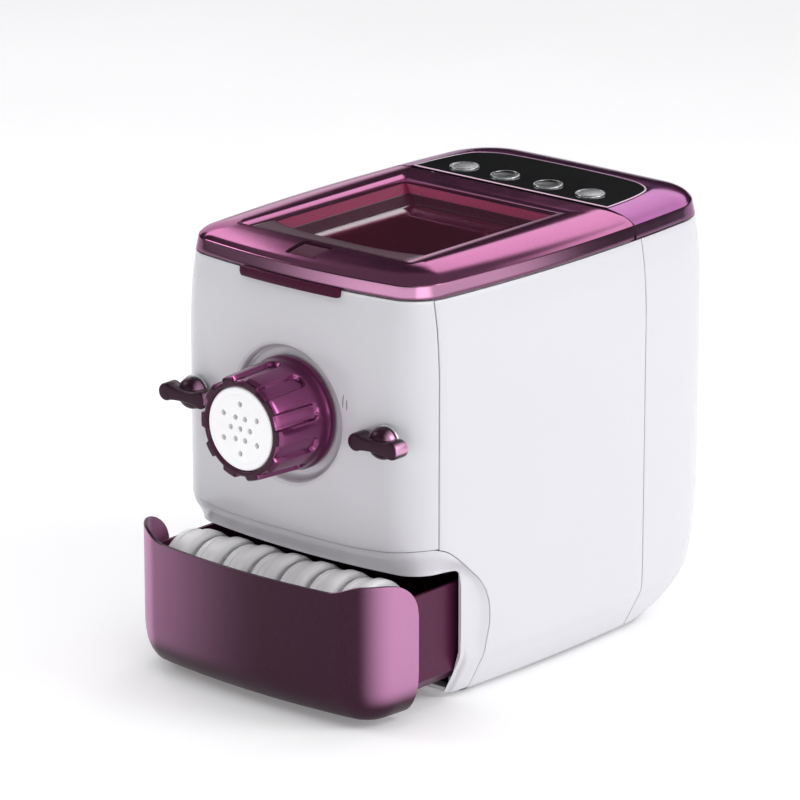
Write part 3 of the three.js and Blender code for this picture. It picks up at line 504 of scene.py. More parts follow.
def sheen_painted_lacquer(name, dark, light, n0=0.12, n1=0.80, lean=0.0):
    """Metallic lacquer with painted light: pale where the surface faces sideways, a painted highlight on the rounded
    corners that leaves the flat front dark, and dark again where it faces down, painted shade. lean shifts the
    highlight towards one side.
    """
    m, nt, b = material(name, dark, 0.34, metal=0.5, coat=0.06, coat_rough=0.08, spec=0.2)
    v = coords(nt)
    geo = nt.nodes.new("ShaderNodeTexCoord")
    sep = nt.nodes.new("ShaderNodeSeparateXYZ")
    nt.links.new(geo.outputs["Normal"], sep.inputs[0])
    off = nt.nodes.new("ShaderNodeMath")
    off.operation = "SUBTRACT"
    off.inputs[1].default_value = lean
    nt.links.new(sep.outputs["X"], off.inputs[0])
    ab = nt.nodes.new("ShaderNodeMath")
    ab.operation = "ABSOLUTE"
    nt.links.new(off.outputs[0], ab.inputs[0])
    # pale where the normal faces sideways: a painted highlight
    r = nt.nodes.new("ShaderNodeMapRange")
    r.interpolation_type = "SMOOTHSTEP"
    for k, val in zip(("From Min", "From Max", "To Min", "To Max"), (n0, n1, 0.0, 1.0)):
        r.inputs[k].default_value = val
    nt.links.new(ab.outputs[0], r.inputs["Value"])
    flakes = nt.nodes.new("ShaderNodeTexVoronoi")
    flakes.inputs["Scale"].default_value = 2600
    nt.links.new(v, flakes.inputs["Vector"])
    fs = nt.nodes.new("ShaderNodeSeparateColor")
    nt.links.new(flakes.outputs["Color"], fs.inputs["Color"])
    # dark where the normal faces down: painted shade
    under = nt.nodes.new("ShaderNodeMapRange")
    under.interpolation_type = "SMOOTHSTEP"
    for k, val in zip(("From Min", "From Max", "To Min", "To Max"), (-0.45, -0.08, 0.0, 1.0)):
        under.inputs[k].default_value = val
    nt.links.new(sep.outputs["Z"], under.inputs["Value"])
    both = nt.nodes.new("ShaderNodeMath")
    both.operation = "MULTIPLY"
    nt.links.new(r.outputs["Result"], both.inputs[0])
    nt.links.new(under.outputs["Result"], both.inputs[1])
    base = mix_rgb(nt, both.outputs[0], dark, light)
    nt.links.new(mix_rgb(nt, maprange(nt, fs.outputs["Red"], 0.0, 1.0, 0.0, 0.035), base, (0.5, 0.25, 0.42)), b.inputs["Base Color"])
    nt.links.new(maprange(nt, noise(nt, v, 60.0, 3), 0.3, 0.7, 0.31, 0.37), b.inputs["Roughness"])
    bump(nt, b, noise(nt, v, 1800, 2), 0.02, 0.0003)
    return m


def brushed(name, c, rough, direction):
    m, nt, b = material(name, c, rough, metal=1.0)
    v = coords(nt, direction)
    n = noise(nt, v, 60, 4, 0.6)
    nt.links.new(ramp(nt, n, [(0.3, tuple(k * 0.86 for k in c)), (0.7, tuple(min(1, k * 1.1) for k in c))]), b.inputs["Base Color"])
    nt.links.new(maprange(nt, n, 0.3, 0.7, rough * 0.8, rough * 1.25), b.inputs["Roughness"])
    bump(nt, b, n, 0.06, 0.0003)
    return m


WHITE = plastic("housing_white", (0.61, 0.605, 0.632), 0.24, var=0.006, coat=0.35, grain=0.006, scale=1600)
WHITE_IN = plastic("housing_white_inside", (0.62, 0.62, 0.64), 0.5, var=0.02, grain=0.03)
# the lid and deck lacquers are paler on their upright faces: painted sheen
PURPLE = lacquer("metallic_purple", (0.275, 0.092, 0.185), (0.17, 0.032, 0.10), 0.92, 0.13, coat=0.2, tint=(0.76, 0.50, 0.65), side_sheen=(0.27, 0.125, 0.205))
DECK_PLUM = lacquer("deck_plum", (0.195, 0.060, 0.165), (0.13, 0.034, 0.11), 0.92, 0.15, coat=0.2, tint=(0.80, 0.56, 0.74), side_sheen=(0.26, 0.13, 0.22))
NUT_PLUM = lacquer("nut_plum", (0.24, 0.055, 0.16), (0.13, 0.024, 0.08), 0.92, 0.22, coat=0.2)
DARK = lacquer("dark_plum", (0.040, 0.007, 0.022), (0.02, 0.003, 0.012), 0.5, 0.3, coat=0.15, spec=0.3)
TRAY = lacquer("tray_plum", (0.090, 0.017, 0.052), (0.05, 0.008, 0.03), 0.3, 0.35, coat=0.0, spec=0.25)
CRIMSON = lacquer("window_wall", (0.19, 0.014, 0.055), (0.12, 0.008, 0.035), 0.35, 0.35, coat=0.0, spec=0.25)
BLACK = plastic("panel_black", (0.006, 0.0065, 0.007), 0.07, var=0.3, coat=0.6, grain=0.002)
CAVITY = plastic("drawer_cavity", (0.012, 0.012, 0.013), 0.6, var=0.2)
EDGE = plastic("panel_edge", (0.83, 0.55, 0.70), 0.25, var=0.05, coat=0.3)
SATIN = brushed("button_chrome", (0.37, 0.37, 0.38), 0.28, (1, 12, 1))
SMOKE = brushed("button_dark", (0.028, 0.028, 0.030), 0.28, (1, 12, 1))
DIE_WHITE = plastic("white_plastic", (0.94, 0.94, 0.945), 0.36, var=0.02, grain=0.02)
BOWL_CLEAR = plastic("bowl_plastic", (0.60, 0.60, 0.62), 0.25, var=0.03, coat=0.3)
RUBBER = plastic("rubber_grey", (0.10, 0.10, 0.105), 0.75, var=0.12, grain=0.2, scale=700)
STEEL_Z = brushed("steel_sheet", (0.56, 0.57, 0.58), 0.34, (40, 1, 1))
STEEL_Y = brushed("steel_turned", (0.60, 0.61, 0.62), 0.28, (1, 30, 1))
NYLON = plastic("nylon", (0.72, 0.70, 0.64), 0.48, var=0.05, grain=0.05, scale=900)
SOCKET = plastic("socket_black", (0.018, 0.018, 0.02), 0.4, var=0.2, grain=0.05)


def board_material():
    m, nt, b = material("circuit_board", (0.02, 0.14, 0.06), 0.4, coat=0.3)
    v = coords(nt)
    br = nt.nodes.new("ShaderNodeTexBrick")
    br.inputs["Scale"].default_value = 260
    br.inputs["Mortar Size"].default_value = 0.03
    br.inputs["Color1"].default_value = (0.015, 0.12, 0.05, 1)
    br.inputs["Color2"].default_value = (0.02, 0.16, 0.07, 1)
    br.inputs["Mortar"].default_value = (0.35, 0.30, 0.10, 1)
    nt.links.new(v, br.inputs["Vector"])
    nt.links.new(mix_rgb(nt, maprange(nt, noise(nt, v, 80, 3), 0.4, 0.6, 0, 0.5), br.outputs["Color"], (0.01, 0.09, 0.035)), b.inputs["Base Color"])
    bump(nt, b, br.outputs["Fac"], 0.2, 0.0002)
    return m


BOARD = board_material()


def window_material():
    m, nt, b = material("smoked_window", (0.80, 0.32, 0.50), 0.05, transmission=0.93, ior=1.45)
    v = coords(nt)
    c = ramp(nt, noise(nt, v, 5.0, 2), [(0.35, (0.36, 0.06, 0.15)), (0.65, (0.46, 0.10, 0.2))])
    nt.links.new(c, b.inputs["Base Color"])
    bump(nt, b, noise(nt, v, 300, 2), 0.01, 0.0002)
    return m


WINDOW = window_material()
STRIP = plastic("strip_dark", (0.050, 0.008, 0.024), 0.3, var=0.3, spec=0.16, grain=0.01)
CATCH = lacquer("catch_plum", (0.055, 0.005, 0.024), (0.03, 0.003, 0.014), 0.0, 0.42, coat=0.0, spec=0.10)
STEP = lacquer("window_step", (0.042, 0.007, 0.019), (0.027, 0.004, 0.012), 0.0, 0.5, coat=0.0, spec=0.08)

# ------------------------------------------------------------------ housing panels
built = []


def keep(ob):
    built.append(ob)
    return ob


# front panel: columns follow the outline from seam to seam, rows rise from the curved lower edge to the rim
def fascia():
    cols_q = np.concatenate([np.linspace(0, 1, 46), 1 + np.linspace(0, 1, 23)[1:]])  # 1..2 is scaled to the seam
    rows = 78
    g = np.linspace(0, 1, rows)
    n = len(cols_q)
    z = np.zeros((n, rows))
    q = np.zeros((n, rows))
    for _ in range(3):
        x = body_pt(q if _ else cols_q[:, None] * np.ones((1, rows)), z if _ else np.full((n, rows), 112.0))[0]
        zb = WAVE(x[:, :1])
        z = zb + (RIM_Z - zb) * g[None, :]
        qs = q_at_y(SEAM_F - GAP, z)
        q = np.where(cols_q[:, None] <= 1, cols_q[:, None] * np.ones((1, rows)), 1 + (cols_q[:, None] - 1) * (qs - 1))
    x, y = body_pt(q, z)
    right = np.stack([x, y, z], -1)
    left = right[::-1].copy()
    left[..., 0] *= -1
    P = np.concatenate([left[:-1], right], 0)
    ob = new_object("fascia_skin", P.reshape(-1, 3), grid_faces(P.shape[0], rows), [WHITE], "chassis", "housing_white", "front_fascia", flip=(0, 0, 200))
    solidify(ob, 2.4)
    apply_mods(ob)
    cv, cf = lathe_y([(0.001, -200), (49.6, -200), (49.6, -150), (0.001, -150)], 96, 0, AXIS_Z)
    holes = [cutter("c0", cv, cf)]
    for s in (-1, 1):
        cv, cf = lathe_y([(0.001, -200), (5.2, -200), (5.2, -140), (0.001, -140)], 32, s * KNOB_X, KNOB_Z)
        holes.append(cutter("c1", cv, cf))
    cut(ob, *holes)
    bevel(ob, 0.45, 2)
    apply_mods(ob, 50)
    return keep(ob)


fascia()


def front_y(x, z):
    return body_pt(q_at_x_front(x, z), z)[1]


# round recess behind the nut: its lip runs into the front panel, its wall into a flat floor
def dish():
    seg = 128
    t = np.arange(seg) * 2 * math.pi / seg
    steps = [(49.55, 1.6), (49.55, 0.25), (49.3, 0.0), (48.6, 0.02), (47.9, 0.35), (47.3, 1.0), (46.8, 2.1), (46.4, 3.6), (46.2, 5.2)]
    P = []
    for r, d in steps:
        x, z = r * np.cos(t), AXIS_Z + r * np.sin(t)
        P.append(np.stack([x, front_y(x, z) + d, z], -1))
    for r, yy in ((45.4, -164.6), (44.6, -163.5), (43.4, -163.05), (40, -163.0), (33.0, -163.0), (33.0, -160.8), (47.5, -160.8), (48.8, -161.5)):
        P.append(np.stack([r * np.cos(t), np.full(seg, float(yy)), AXIS_Z + r * np.sin(t)], -1))
    P = np.stack(P, 1)
    ob = new_object("dish", P.reshape(-1, 3), grid_faces(seg, P.shape[1], cu=True, cv=True), [WHITE], "chassis", "housing_white", "front_fascia", flip="closed", sharp=42)
    return keep(ob)


dish()

# side panels
NY = pchip([-143, -137, -131, -122, -113, -106, -100], [114.6, 112.4, 108.6, 101, 92.5, 85.5, 76.5])
NZ = pchip([0, 34, 42, 54, 65, 76.5], [-100, -100, -98.6, -96.2, -96.6, -100])


def side_panel(sign):
    yc = -90.0
    z0 = 2.6
    zl = np.concatenate([np.linspace(z0, 40, 16), np.linspace(40, 76.5, 14)[1:]])
    zh = np.linspace(76.5, RIM_Z, 62)
    yj = np.linspace(-100, yc, 5)
    parts = []

    def surf(Y, Z):
        x, y = body_pt(q_at_y(Y, Z), Z)
        return np.stack([sign * x, y, Z], -1)

    # rear field
    Y = np.linspace(yc, SEAM_R - GAP, 46)[:, None] * np.ones((1, len(zl) + len(zh) - 1))
    Z = np.concatenate([zl, zh[1:]])[None, :] * np.ones((46, 1))
    P = surf(Y, Z)
    parts.append((P.reshape(-1, 3), grid_faces(*P.shape[:2])))
    # above the drawer opening
    ys = np.concatenate([np.linspace(SEAM_F + GAP, -100, 26), yj[1:]])
    zb = np.where(ys < -100, NY(ys), 76.5)
    f = (zh - 76.5) / (RIM_Z - 76.5)
    Z = zb[:, None] + (RIM_Z - zb[:, None]) * f[None, :]
    Y = ys[:, None] * np.ones((1, len(zh)))
    P = surf(Y, Z)
    parts.append((P.reshape(-1, 3), grid_faces(*P.shape[:2])))
    # beside the drawer opening
    w = np.linspace(0, 1, 5)
    Y = NZ(zl)[None, :] + (yc - NZ(zl))[None, :] * w[:, None]
    Z = zl[None, :] * np.ones((5, 1))
    P = surf(Y, Z)
    parts.append((P.reshape(-1, 3), grid_faces(*P.shape[:2])))
    V, F, I = merge(parts)
    name = "left" if sign < 0 else "right"
    ob = new_object(name + "_side_skin", V, F, [WHITE], "chassis", "housing_white", name + "_side_panel", flip=(0, -20, 150))
    solidify(ob, 2.4)
    bevel(ob, 0.45, 2)
    apply_mods(ob, 50)
    return keep(ob)


side_panel(-1)
side_panel(1)


def rear_cover():
    rows = np.concatenate([np.linspace(2.6, 60, 26), np.linspace(60, RIM_Z, 66)[1:]])
    qa = q_at_y(SEAM_R + GAP, rows)
    c = np.concatenate([np.linspace(0, 1, 14), 1 + np.linspace(0, 1, 30)[1:], 2 + np.linspace(0, 1, 20)[1:]])
    q = np.where(c[:, None] < 1, qa[None, :] + (3 - qa[None, :]) * c[:, None], c[:, None] + 2)
    Z = rows[None, :] * np.ones((len(c), 1))
    x, y = body_pt(q, Z)
    right = np.stack([x, y, Z], -1)
    left = right[::-1].copy()
    left[..., 0] *= -1
    P = np.concatenate([right, left[1:]], 0)
    ob = new_object("rear_skin", P.reshape(-1, 3), grid_faces(*P.shape[:2]), [WHITE], "chassis", "housing_white", "rear_cover", flip=(0, 60, 150))
    solidify(ob, 2.4)
    apply_mods(ob)
    cs = []
    for i in range(7):
        x0 = -33 + i * 11
        cs.append(cutter("v", *prism_y(rounded([(x0 - 1.7, 108), (x0 + 1.7, 108), (x0 + 1.7, 138), (x0 - 1.7, 138)], 1.6, 5), 150, 190)))
    cs.append(cutter("i", *box_mesh(62 - 15.3, 62 + 15.3, 150, 190, 86 - 11.8, 86 + 11.8)))
    cut(ob, *cs)
    bevel(ob, 0.45, 2)
    apply_mods(ob, 50)
    return keep(ob)


rear_cover()


# ------------------------------------------------------------------ scooped frame round the drawer opening
# how far the scoop lies inside the body's outline, from the panels' edge (0) to the opening's face (1)
SCOOP_TOP = pchip([0, 0.03, 0.14, 0.256, 0.426, 0.625, 0.85, 1], [0.5, 0.75, 0.9, 1.6, 3.8, 6.4, 8.8, 9.6])
SCOOP_SIDE = pchip([0, 0.03, 0.09, 0.25, 0.46, 0.67, 1], [0.5, 0.9, 1.7, 3.6, 4.3, 4.2, 3.7])
SCOOP_LOW = pchip([0, 0.6, 0.74, 0.82, 0.86, 1], [0.45, 0.5, 0.8, 3.2, 3.5, 3.7])


def smooth(x, a, b):
    t = np.clip((np.asarray(x, float) - a) / (b - a), 0, 1)
    return t * t * (3 - 2 * t)


def surround():
    ts = np.array([0, 0.015, 0.04, 0.08, 0.13, 0.19, 0.26, 0.34, 0.43, 0.52, 0.61, 0.7, 0.76, 0.8, 0.83, 0.86, 0.9, 0.95, 1.0])
    # side: up the panel's curved edge
    z1 = np.concatenate([np.linspace(3.4, 10.8, 6), np.linspace(10.8, 40, 16)[1:], np.linspace(40, 76.5, 16)[1:]])
    yo = NZ(z1) - 0.35
    zo = z1.copy()
    yi = np.full(len(z1), SURR_Y)
    zi = z1 * 1.0
    kind = smooth(z1, 44, 22)  # 1 where the scoop has faded out near the floor
    top = np.zeros(len(z1))
    # corner: along the panel's rounded corner outside, round a tight corner inside
    y2 = np.linspace(-100.35, -142.6, 34)[1:]
    z2 = NY(y2) - 0.4
    u = (y2 - y2[0]) / (y2[-1] - y2[0])
    q_last = float(q_at_y(y2[-1:], z2[-1:])[0])
    y_end = float(body_pt(np.array([q_last]), np.array([LIP_Z]), 9.6)[1][0])
    ci = rounded([(SURR_Y, 76.5), (SURR_Y, LIP_Z), (y_end, LIP_Z)], [0, 4.0, 0], 8)
    # open path: keep the run from the first to the last point
    ci = np.array([(SURR_Y, 76.5)] + [p for p in ci if not (abs(p[0] - SURR_Y) < 1e-6 and abs(p[1] - 76.5) < 1e-6) and not (abs(p[0] - y_end) < 1e-6)] + [(y_end, LIP_Z)])
    sl = np.concatenate([[0], np.cumsum(np.linalg.norm(np.diff(ci, axis=0), axis=1))])
    yi2, zi2 = np.interp(u * sl[-1], sl, ci[:, 0]), np.interp(u * sl[-1], sl, ci[:, 1])
    yo, zo = np.concatenate([yo, y2]), np.concatenate([zo, z2])
    yi, zi = np.concatenate([yi, yi2]), np.concatenate([zi, zi2])
    kind = np.concatenate([kind, np.zeros(len(y2))])
    top = np.concatenate([top, smooth(u, 0.15, 0.85)])
    ns = len(yo)
    # front: across under the front panel
    qf = np.concatenate([np.linspace(q_last, 1.0, 12)[1:], np.linspace(1.0, 0.0, 40)[1:]])
    xf = body_pt(qf, np.full(len(qf), 112.0))[0]
    zf = WAVE(xf) - 0.45
    rows = []
    for t in ts:
        d_side = SCOOP_SIDE(t) * (1 - kind) + SCOOP_LOW(t) * kind
        d = d_side * (1 - top) + SCOOP_TOP(t) * top
        y, z = yo + (yi - yo) * t, zo + (zi - zo) * t
        q = q_at_y(y, z, d)
        x1, y1 = body_pt(q, z, d)
        zt = zf + (LIP_Z - zf) * t
        x2, y2b = body_pt(qf, zt, np.full(len(qf), float(SCOOP_TOP(t))))
        rows.append(np.stack([np.concatenate([x1, x2]), np.concatenate([y1, y2b]), np.concatenate([z, zt])], -1))
    # from the scoop's inner line to the opening's edge and back into the opening
    L = rows[-1]
    n = len(L)
    half = np.where(L[:, 2] > 36, 109.0, np.where(L[:, 2] > 21, 104.7 + (L[:, 2] - 21) / 15 * 4.3, 104.7))
    half = np.minimum(half, L[:, 0] - 0.25)
    low = np.minimum(L[:, 2], LIP_Z)
    a = np.arange(n) < ns
    upper = np.where(a, smooth(L[:, 1], SURR_Y, SURR_Y - 6), 1.0)  # 1 along the ceiling
    e = []
    for k, (dx, dy) in enumerate(((0.35, 0.0), (0.93, 0.0), (1.0, 0.7), (1.0, 4.0))):
        xs = L[:, 0] + (half - L[:, 0]) * dx
        side = np.stack([xs, np.full(n, SURR_Y) + dy, low], -1)
        xc = np.minimum(L[:, 0], 109.0 + 0 * L[:, 0])
        depth = [0.5, 1.2, 4.0, None][k]
        yy = L[:, 1] + depth if depth is not None else np.full(n, SURR_Y + 4.0)
        yy = np.minimum(yy, SURR_Y + 4.0)
        ceil = np.stack([np.where(k < 1, L[:, 0], xc), yy, np.full(n, LIP_Z - (0.0, 0.1, 0.1, 0.1)[k])], -1)
        e.append(side * (1 - upper[:, None]) + ceil * upper[:, None])
    rows += e
    R = np.stack(rows, 1)
    M = R[::-1].copy()
    M[..., 0] *= -1
    P = np.concatenate([R, M[1:]], 0)
    ob = new_object("drawer_surround_skin", P.reshape(-1, 3), grid_faces(*P.shape[:2]), [WHITE], "chassis", "housing_white", "drawer_surround", flip=(0, -60, 150))
    ob.data.set_sharp_from_angle(angle=math.radians(48))
    return keep(ob)


surround()


# near-black sheet inside the drawer bay: painted shade seen through the drawer opening
def cavity():
    v, f = [], []
    pts = [(-100, 9.5), (-60, 9.3), (0, 9.2), (60, 9.3), (100, 9.5), (103.2, 13), (105.0, 22), (109.3, 37), (109.6, 60), (109.3, 94.3), (60, 94.8), (0, 95), (-60, 94.8), (-109.3, 94.3), (-109.6, 60), (-109.3, 37), (-105.0, 22), (-103.2, 13)]
    n = len(pts)
    v, f = [], []
    for k, y in enumerate((-115.6, -80, -40, 0, 40)):
        v += [(x * (1 - 0.004 * k), y, 50 + (z - 50) * (1 - 0.004 * k)) for x, z in pts]
    v.append((0, 40.5, 50))
    for k in range(4):
        f += [(k * n + i, k * n + (i + 1) % n, (k + 1) * n + (i + 1) % n, (k + 1) * n + i) for i in range(n)]
    f += [(4 * n + i, 4 * n + (i + 1) % n, 5 * n) for i in range(n)]
    ob = new_object("drawer_bay_shade_sheet", v, f, [CAVITY], "chassis", "housing_white", None, smooth=False)
    return keep(ob)


cavity()


# ------------------------------------------------------------------ lid
WX, WY0, WY1 = 70.0, -131.0, 32.0
N_F, N_A, N_S, N_R = 26, 16, 46, 40


def rear_z(y):
    y = np.asarray(y, float)
    u = np.clip((y - HINGE_Y) / HINGE_R, 0, 1)
    return np.where(y <= HINGE_Y, 400.0, HINGE_Z + HINGE_R * np.sqrt(np.maximum(0, 1 - u * u)))


def loop_half(d, yend):
    """Right half of the outline drawn in by d, from its end at y = yend to the front centre."""
    q2 = 2.0
    qe = float(solve(lambda q: ringpt(q, d, d, d, 0.62)[1], yend, 1.9, 4.5, np.zeros(1))[0])
    q = np.concatenate([np.linspace(qe, q2, N_S), np.linspace(q2, 1.0, N_A)[1:], np.linspace(1.0, 0.0, N_F)[1:]])
    x, y = ringpt(np.clip(q, 0, 5), d, d, d, 0.62)
    return np.stack([x, y], -1)


def loop_rect(x1, y0, y1, r):
    s = np.stack([np.full(N_S, x1), np.linspace(y1, y0 + r, N_S)], -1)
    t = np.linspace(0, -math.pi / 2, N_A)[1:]
    c = np.stack([x1 - r + r * np.cos(t), y0 + r + r * np.sin(t)], -1)
    f = np.stack([np.linspace(x1 - r, 0, N_F)[1:], np.full(N_F - 1, y0)], -1)
    return np.concatenate([s, c, f])


def close_loop(h, yend_line=None):
    """Whole loop: right half from rear to front, left half from front to rear, then the rear edge from left to right."""
    left = h[::-1][1:].copy()
    left[:, 0] *= -1
    x0, y0 = h[0]
    xs = np.linspace(-x0, x0, N_R + 2)[1:-1]
    rear = np.stack([xs, np.full(N_R, y0)], -1)
    return np.concatenate([h, left, rear])


def d_side(x, y):
    s = np.minimum(1, np.abs(y) / 171.0)
    return A - np.abs(x) / (1 - 11.4 * s * s / A)


def lid_height(xy, d):
    y = xy[:, 1]
    dd = np.full(len(xy), float(d))
    rear = np.zeros(len(xy), bool)
    rear[-N_R:] = True
    dd = np.where(rear, np.maximum(d, np.minimum(d_side(xy[:, 0], y), 60)), dd)
    return np.minimum(CROWN(dd), rear_z(y))


def lid_frame():
    loops = []

    def add(xy, z):
        loops.append(np.concatenate([xy, np.broadcast_to(np.asarray(z, float), (len(xy),))[:, None]], 1))

    ds = [7.9, 8.3, 9.2, 10.4, 11.8, 13.6, 16, 19, 22.5, 26.5, 31, 35.4]
    ye = [60.9, 60.9, 60.85, 60.6, 60.1, 59.3, 58.2, 56.8, 55, 52.5, 49.5, 46.5]
    top = []
    for d, y in zip(ds, ye):
        xy = close_loop(loop_half(d, y))
        top.append((xy, lid_height(xy, d)))
    # the crease round the recess, then a narrow slope down to its edge
    r1 = close_loop(loop_rect(WX + 9.3, WY0 - 3.2, WY1 + 8.5, 4.5))
    r1b = close_loop(loop_rect(WX + 8.4, WY0 - 2.9, WY1 + 7.8, 4.2))
    r2 = close_loop(loop_rect(WX + 1.2, WY0 - 0.6, WY1 + 1.0, 2.2))
    r3 = close_loop(loop_rect(WX + 0.2, WY0 - 0.1, WY1 + 0.2, 1.8))
    r4 = close_loop(loop_rect(WX, WY0, WY1, 1.6))
    seq = []
    # underside, from the window outwards
    for xy, z in ((r4, 298.9), (r4, 303.4), (r3, 304.1), (r2, 304.56), (r1b, 304.64), (r1, 304.67)):
        seq.append((xy, np.full(len(xy), z)))
    mid = [(a[0] * 0.5 + r1 * 0.5, a[1] * 0.5 + 304.68 * 0.5) for a in (top[-1],)]
    seq += mid
    seq += top[::-1]
    # crease and skirt
    for d, z in ((7.75, 296.35), (7.5, 295.6), (6.9, 293.2), (6.1, 290.2), (5.6, 288.2), (5.55, 287.7), (5.8, 287.4), (7.6, 287.4), (8.0, 287.7)):
        yb = 60.9 if z > 290.6 else 60.9 - 2.5 * min(1, (290.6 - z) / 2.9)
        xy = close_loop(loop_half(d, yb))
        seq.append((xy, np.full(len(xy), z)))
    for d, z, yb in ((10.4, 293.8, 58.2), (13.9, 296.9, 57.5), (22, 299.8, 54), (33, 301.4, 48)):
        xy = close_loop(loop_half(d, yb))
        seq.append((xy, np.full(len(xy), z)))
    seq.append((close_loop(loop_rect(WX + 4, WY0 - 1.5, WY1 + 4, 3)), np.full(len(r1), 301.7)))
    seq.append((close_loop(loop_rect(WX + 3.2, WY0 - 1.2, WY1 + 3.2, 3)), np.full(len(r1), 298.9)))
    P = np.stack([np.concatenate([xy, z[:, None]], 1) for xy, z in seq], 1)
    n, m = P.shape[:2]
    ob = new_object("lid_shell", P.reshape(-1, 3), grid_faces(n, m, cu=True, cv=True), [PURPLE], "lid", "metallic_purple", "lid_frame", flip="closed")
    cs = [cutter("cap", *prism_z(rounded([(-13.4, -156.4), (13.4, -156.4), (13.4, -135.6), (-13.4, -135.6)], 1.2, 3), 290, 320))]
    for s in (-1, 1):
        cs.append(cutter("ear", *box_mesh(83.5 * s if s > 0 else -88.5, 88.5 if s > 0 else -83.5, 52.6, 70, 280, 302.75)))
        v, f = lathe_x([(0.001, 87 if s > 0 else -97), (1.5, 87 if s > 0 else -97), (1.5, 97 if s > 0 else -87), (0.001, 97 if s > 0 else -87)], 16, HINGE_Y, HINGE_Z)
        cs.append(cutter("pin", v, f))
    cut(ob, *cs)
    ob.data.set_sharp_from_angle(angle=math.radians(34))
    return keep(ob)


lid_frame()


# see-through tray let into the lid: a sloping band, a step and a flat pane
def lid_window():
    def rect(gs, gf, gr, r):
        h = loop_rect(WX - gs, WY0 + gf, WY1 - gr, r)
        return close_loop(h)

    up = [  # (side, front, rear inset, corner radius, z) from the outer edge in
        (-2.4, -1.2, -2.4, 3, 299.0),
        (-2.4, -1.2, -2.4, 3, 301.0),
        (0.3, 0.6, 0.3, 1.4, 301.3),
        (1.7, 2.0, 1.4, 1.5, 301.2),
        (2.1, 2.6, 1.7, 1.5, 301.5),
        (4.9, 6.0, 3.2, 1.8, 299.2),
        (7.9, 10.5, 5.0, 2.0, 296.7),
        (8.3, 11.0, 5.3, 2.0, 296.3),
        (9.4, 12.4, 6.0, 2.2, 296.1),
        (10.0, 13.4, 6.4, 2.4, 295.7),
        (14.4, 18.6, 9.0, 2.8, 293.2),
        (18.2, 23.0, 11.2, 3.4, 291.2),
        (19.8, 25.0, 12.4, 3.6, 290.85),
    ]
    loops = [np.concatenate([rect(a, b, c, r), np.full((len(rect(a, b, c, r)), 1), z)], 1) for a, b, c, r, z in up]
    inner = loops[-1]
    c = np.array([[0.0, -50.0, 290.8]])
    for k in (0.7, 0.4, 0.15):
        l = inner.copy()
        l[:, :2] = c[:, :2] + (inner[:, :2] - c[:, :2]) * k
        loops.append(l)
    for k in (0.15, 0.4, 0.7, 1.0):
        l = inner.copy()
        l[:, :2] = c[:, :2] + (inner[:, :2] - c[:, :2]) * k
        l[:, 2] = 288.7
        loops.append(l)
    for a, b, c2, r, z in ((19.0, 24.0, 11.8, 3, 288.9), (16.8, 21.4, 10.2, 2.6, 290.4), (12.6, 16.4, 7.6, 2.2, 292.3), (7.6, 10.0, 4.6, 2, 295.0), (1.0, 1.2, 0.4, 2, 298.9)):
        xy = rect(a, b, c2, r)
        loops.append(np.concatenate([xy, np.full((len(xy), 1), z)], 1))
    P = np.stack(loops, 1)
    n, m = P.shape[:2]
    faces = grid_faces(n, m, cu=True, cv=True)
    # the fold between the centre loops (top and bottom) is closed by two caps instead
    k_top = len(up) + 2
    faces = [f for f in faces if not ({i % m for i in f} == {k_top, k_top + 1})]
    faces.append(tuple(i * m + k_top for i in range(n)))
    faces.append(tuple(i * m + k_top + 1 for i in reversed(range(n))))
    idx = []
    for f in faces:
        ks = sorted({i % m for i in f})
        k0 = ks[0] if len(ks) == 2 and ks[1] == ks[0] + 1 else 99
        idx.append(2 if k0 in (1, 2, 3, 7) else 1 if 4 <= k0 <= 6 else 3 if 8 <= k0 <= 10 else 0)
    ob = new_object("lid_pane", P.reshape(-1, 3), faces, [WINDOW, CRIMSON, STRIP, STEP], "lid", "smoked_window", "lid_window", index=idx, flip="closed", sharp=30)
    return keep(ob)


lid_window()


# dark strip let in along the front of the recess, its rear edge hollow
def lid_strip():
    nx, ny = 72, 12
    P = []
    for i in range(nx):
        u = i / (nx - 1)
        x = -WX + 0.9 + (2 * WX - 1.8) * u
        y0 = WY0 + 0.7
        y1 = -115.2 + 11.5 * (abs(x) / WX) ** 3.2
        col = []
        for j in range(ny):
            v = j / (ny - 1)
            e = min(v * (y1 - y0), (1 - v) * (y1 - y0), (1 - abs(2 * u - 1)) * WX)
            z = 304.0 - 0.7 * (1 - min(1, e / 0.9)) ** 2 - 0.9 * v * v
            col.append((x, y0 + (y1 - y0) * v, z))
        P.append(col)
    P = np.array(P)
    ob = new_object("lid_front_strip", P.reshape(-1, 3), grid_faces(nx, ny), [STRIP], "lid", "dark_plum", None, flip=(0, -100, 200))
    solidify(ob, 2.2)
    apply_mods(ob, 40)
    return keep(ob)


lid_strip()


def lid_cap():
    n, m = 18, 16
    P = []
    for i in range(n):
        for j in range(m):
            u, v = i / (n - 1), j / (m - 1)
            x, y = -12.6 + 25.2 * u, -155.6 + 19.2 * v
            d = min(u, 1 - u) * 25.2
            e = min(v, 1 - v) * 19.2
            # follows the crown, a little lower, with sunk edges
            dc = float(CROWN(max(7.9, y + 171 - 0.1)))
            z = dc - 1.25 - 0.9 * math.exp(-min(d, e) / 0.9)
            P.append((x, y, z))
    ob = new_object("lid_catch", P, grid_faces(n, m), [CATCH], "lid", "dark_plum", "lid_magnet_cap", flip=(0, -140, 200))
    solidify(ob, 3.2)
    bevel(ob, 0.4, 2)
    apply_mods(ob, 40)
    return keep(ob)


lid_cap()


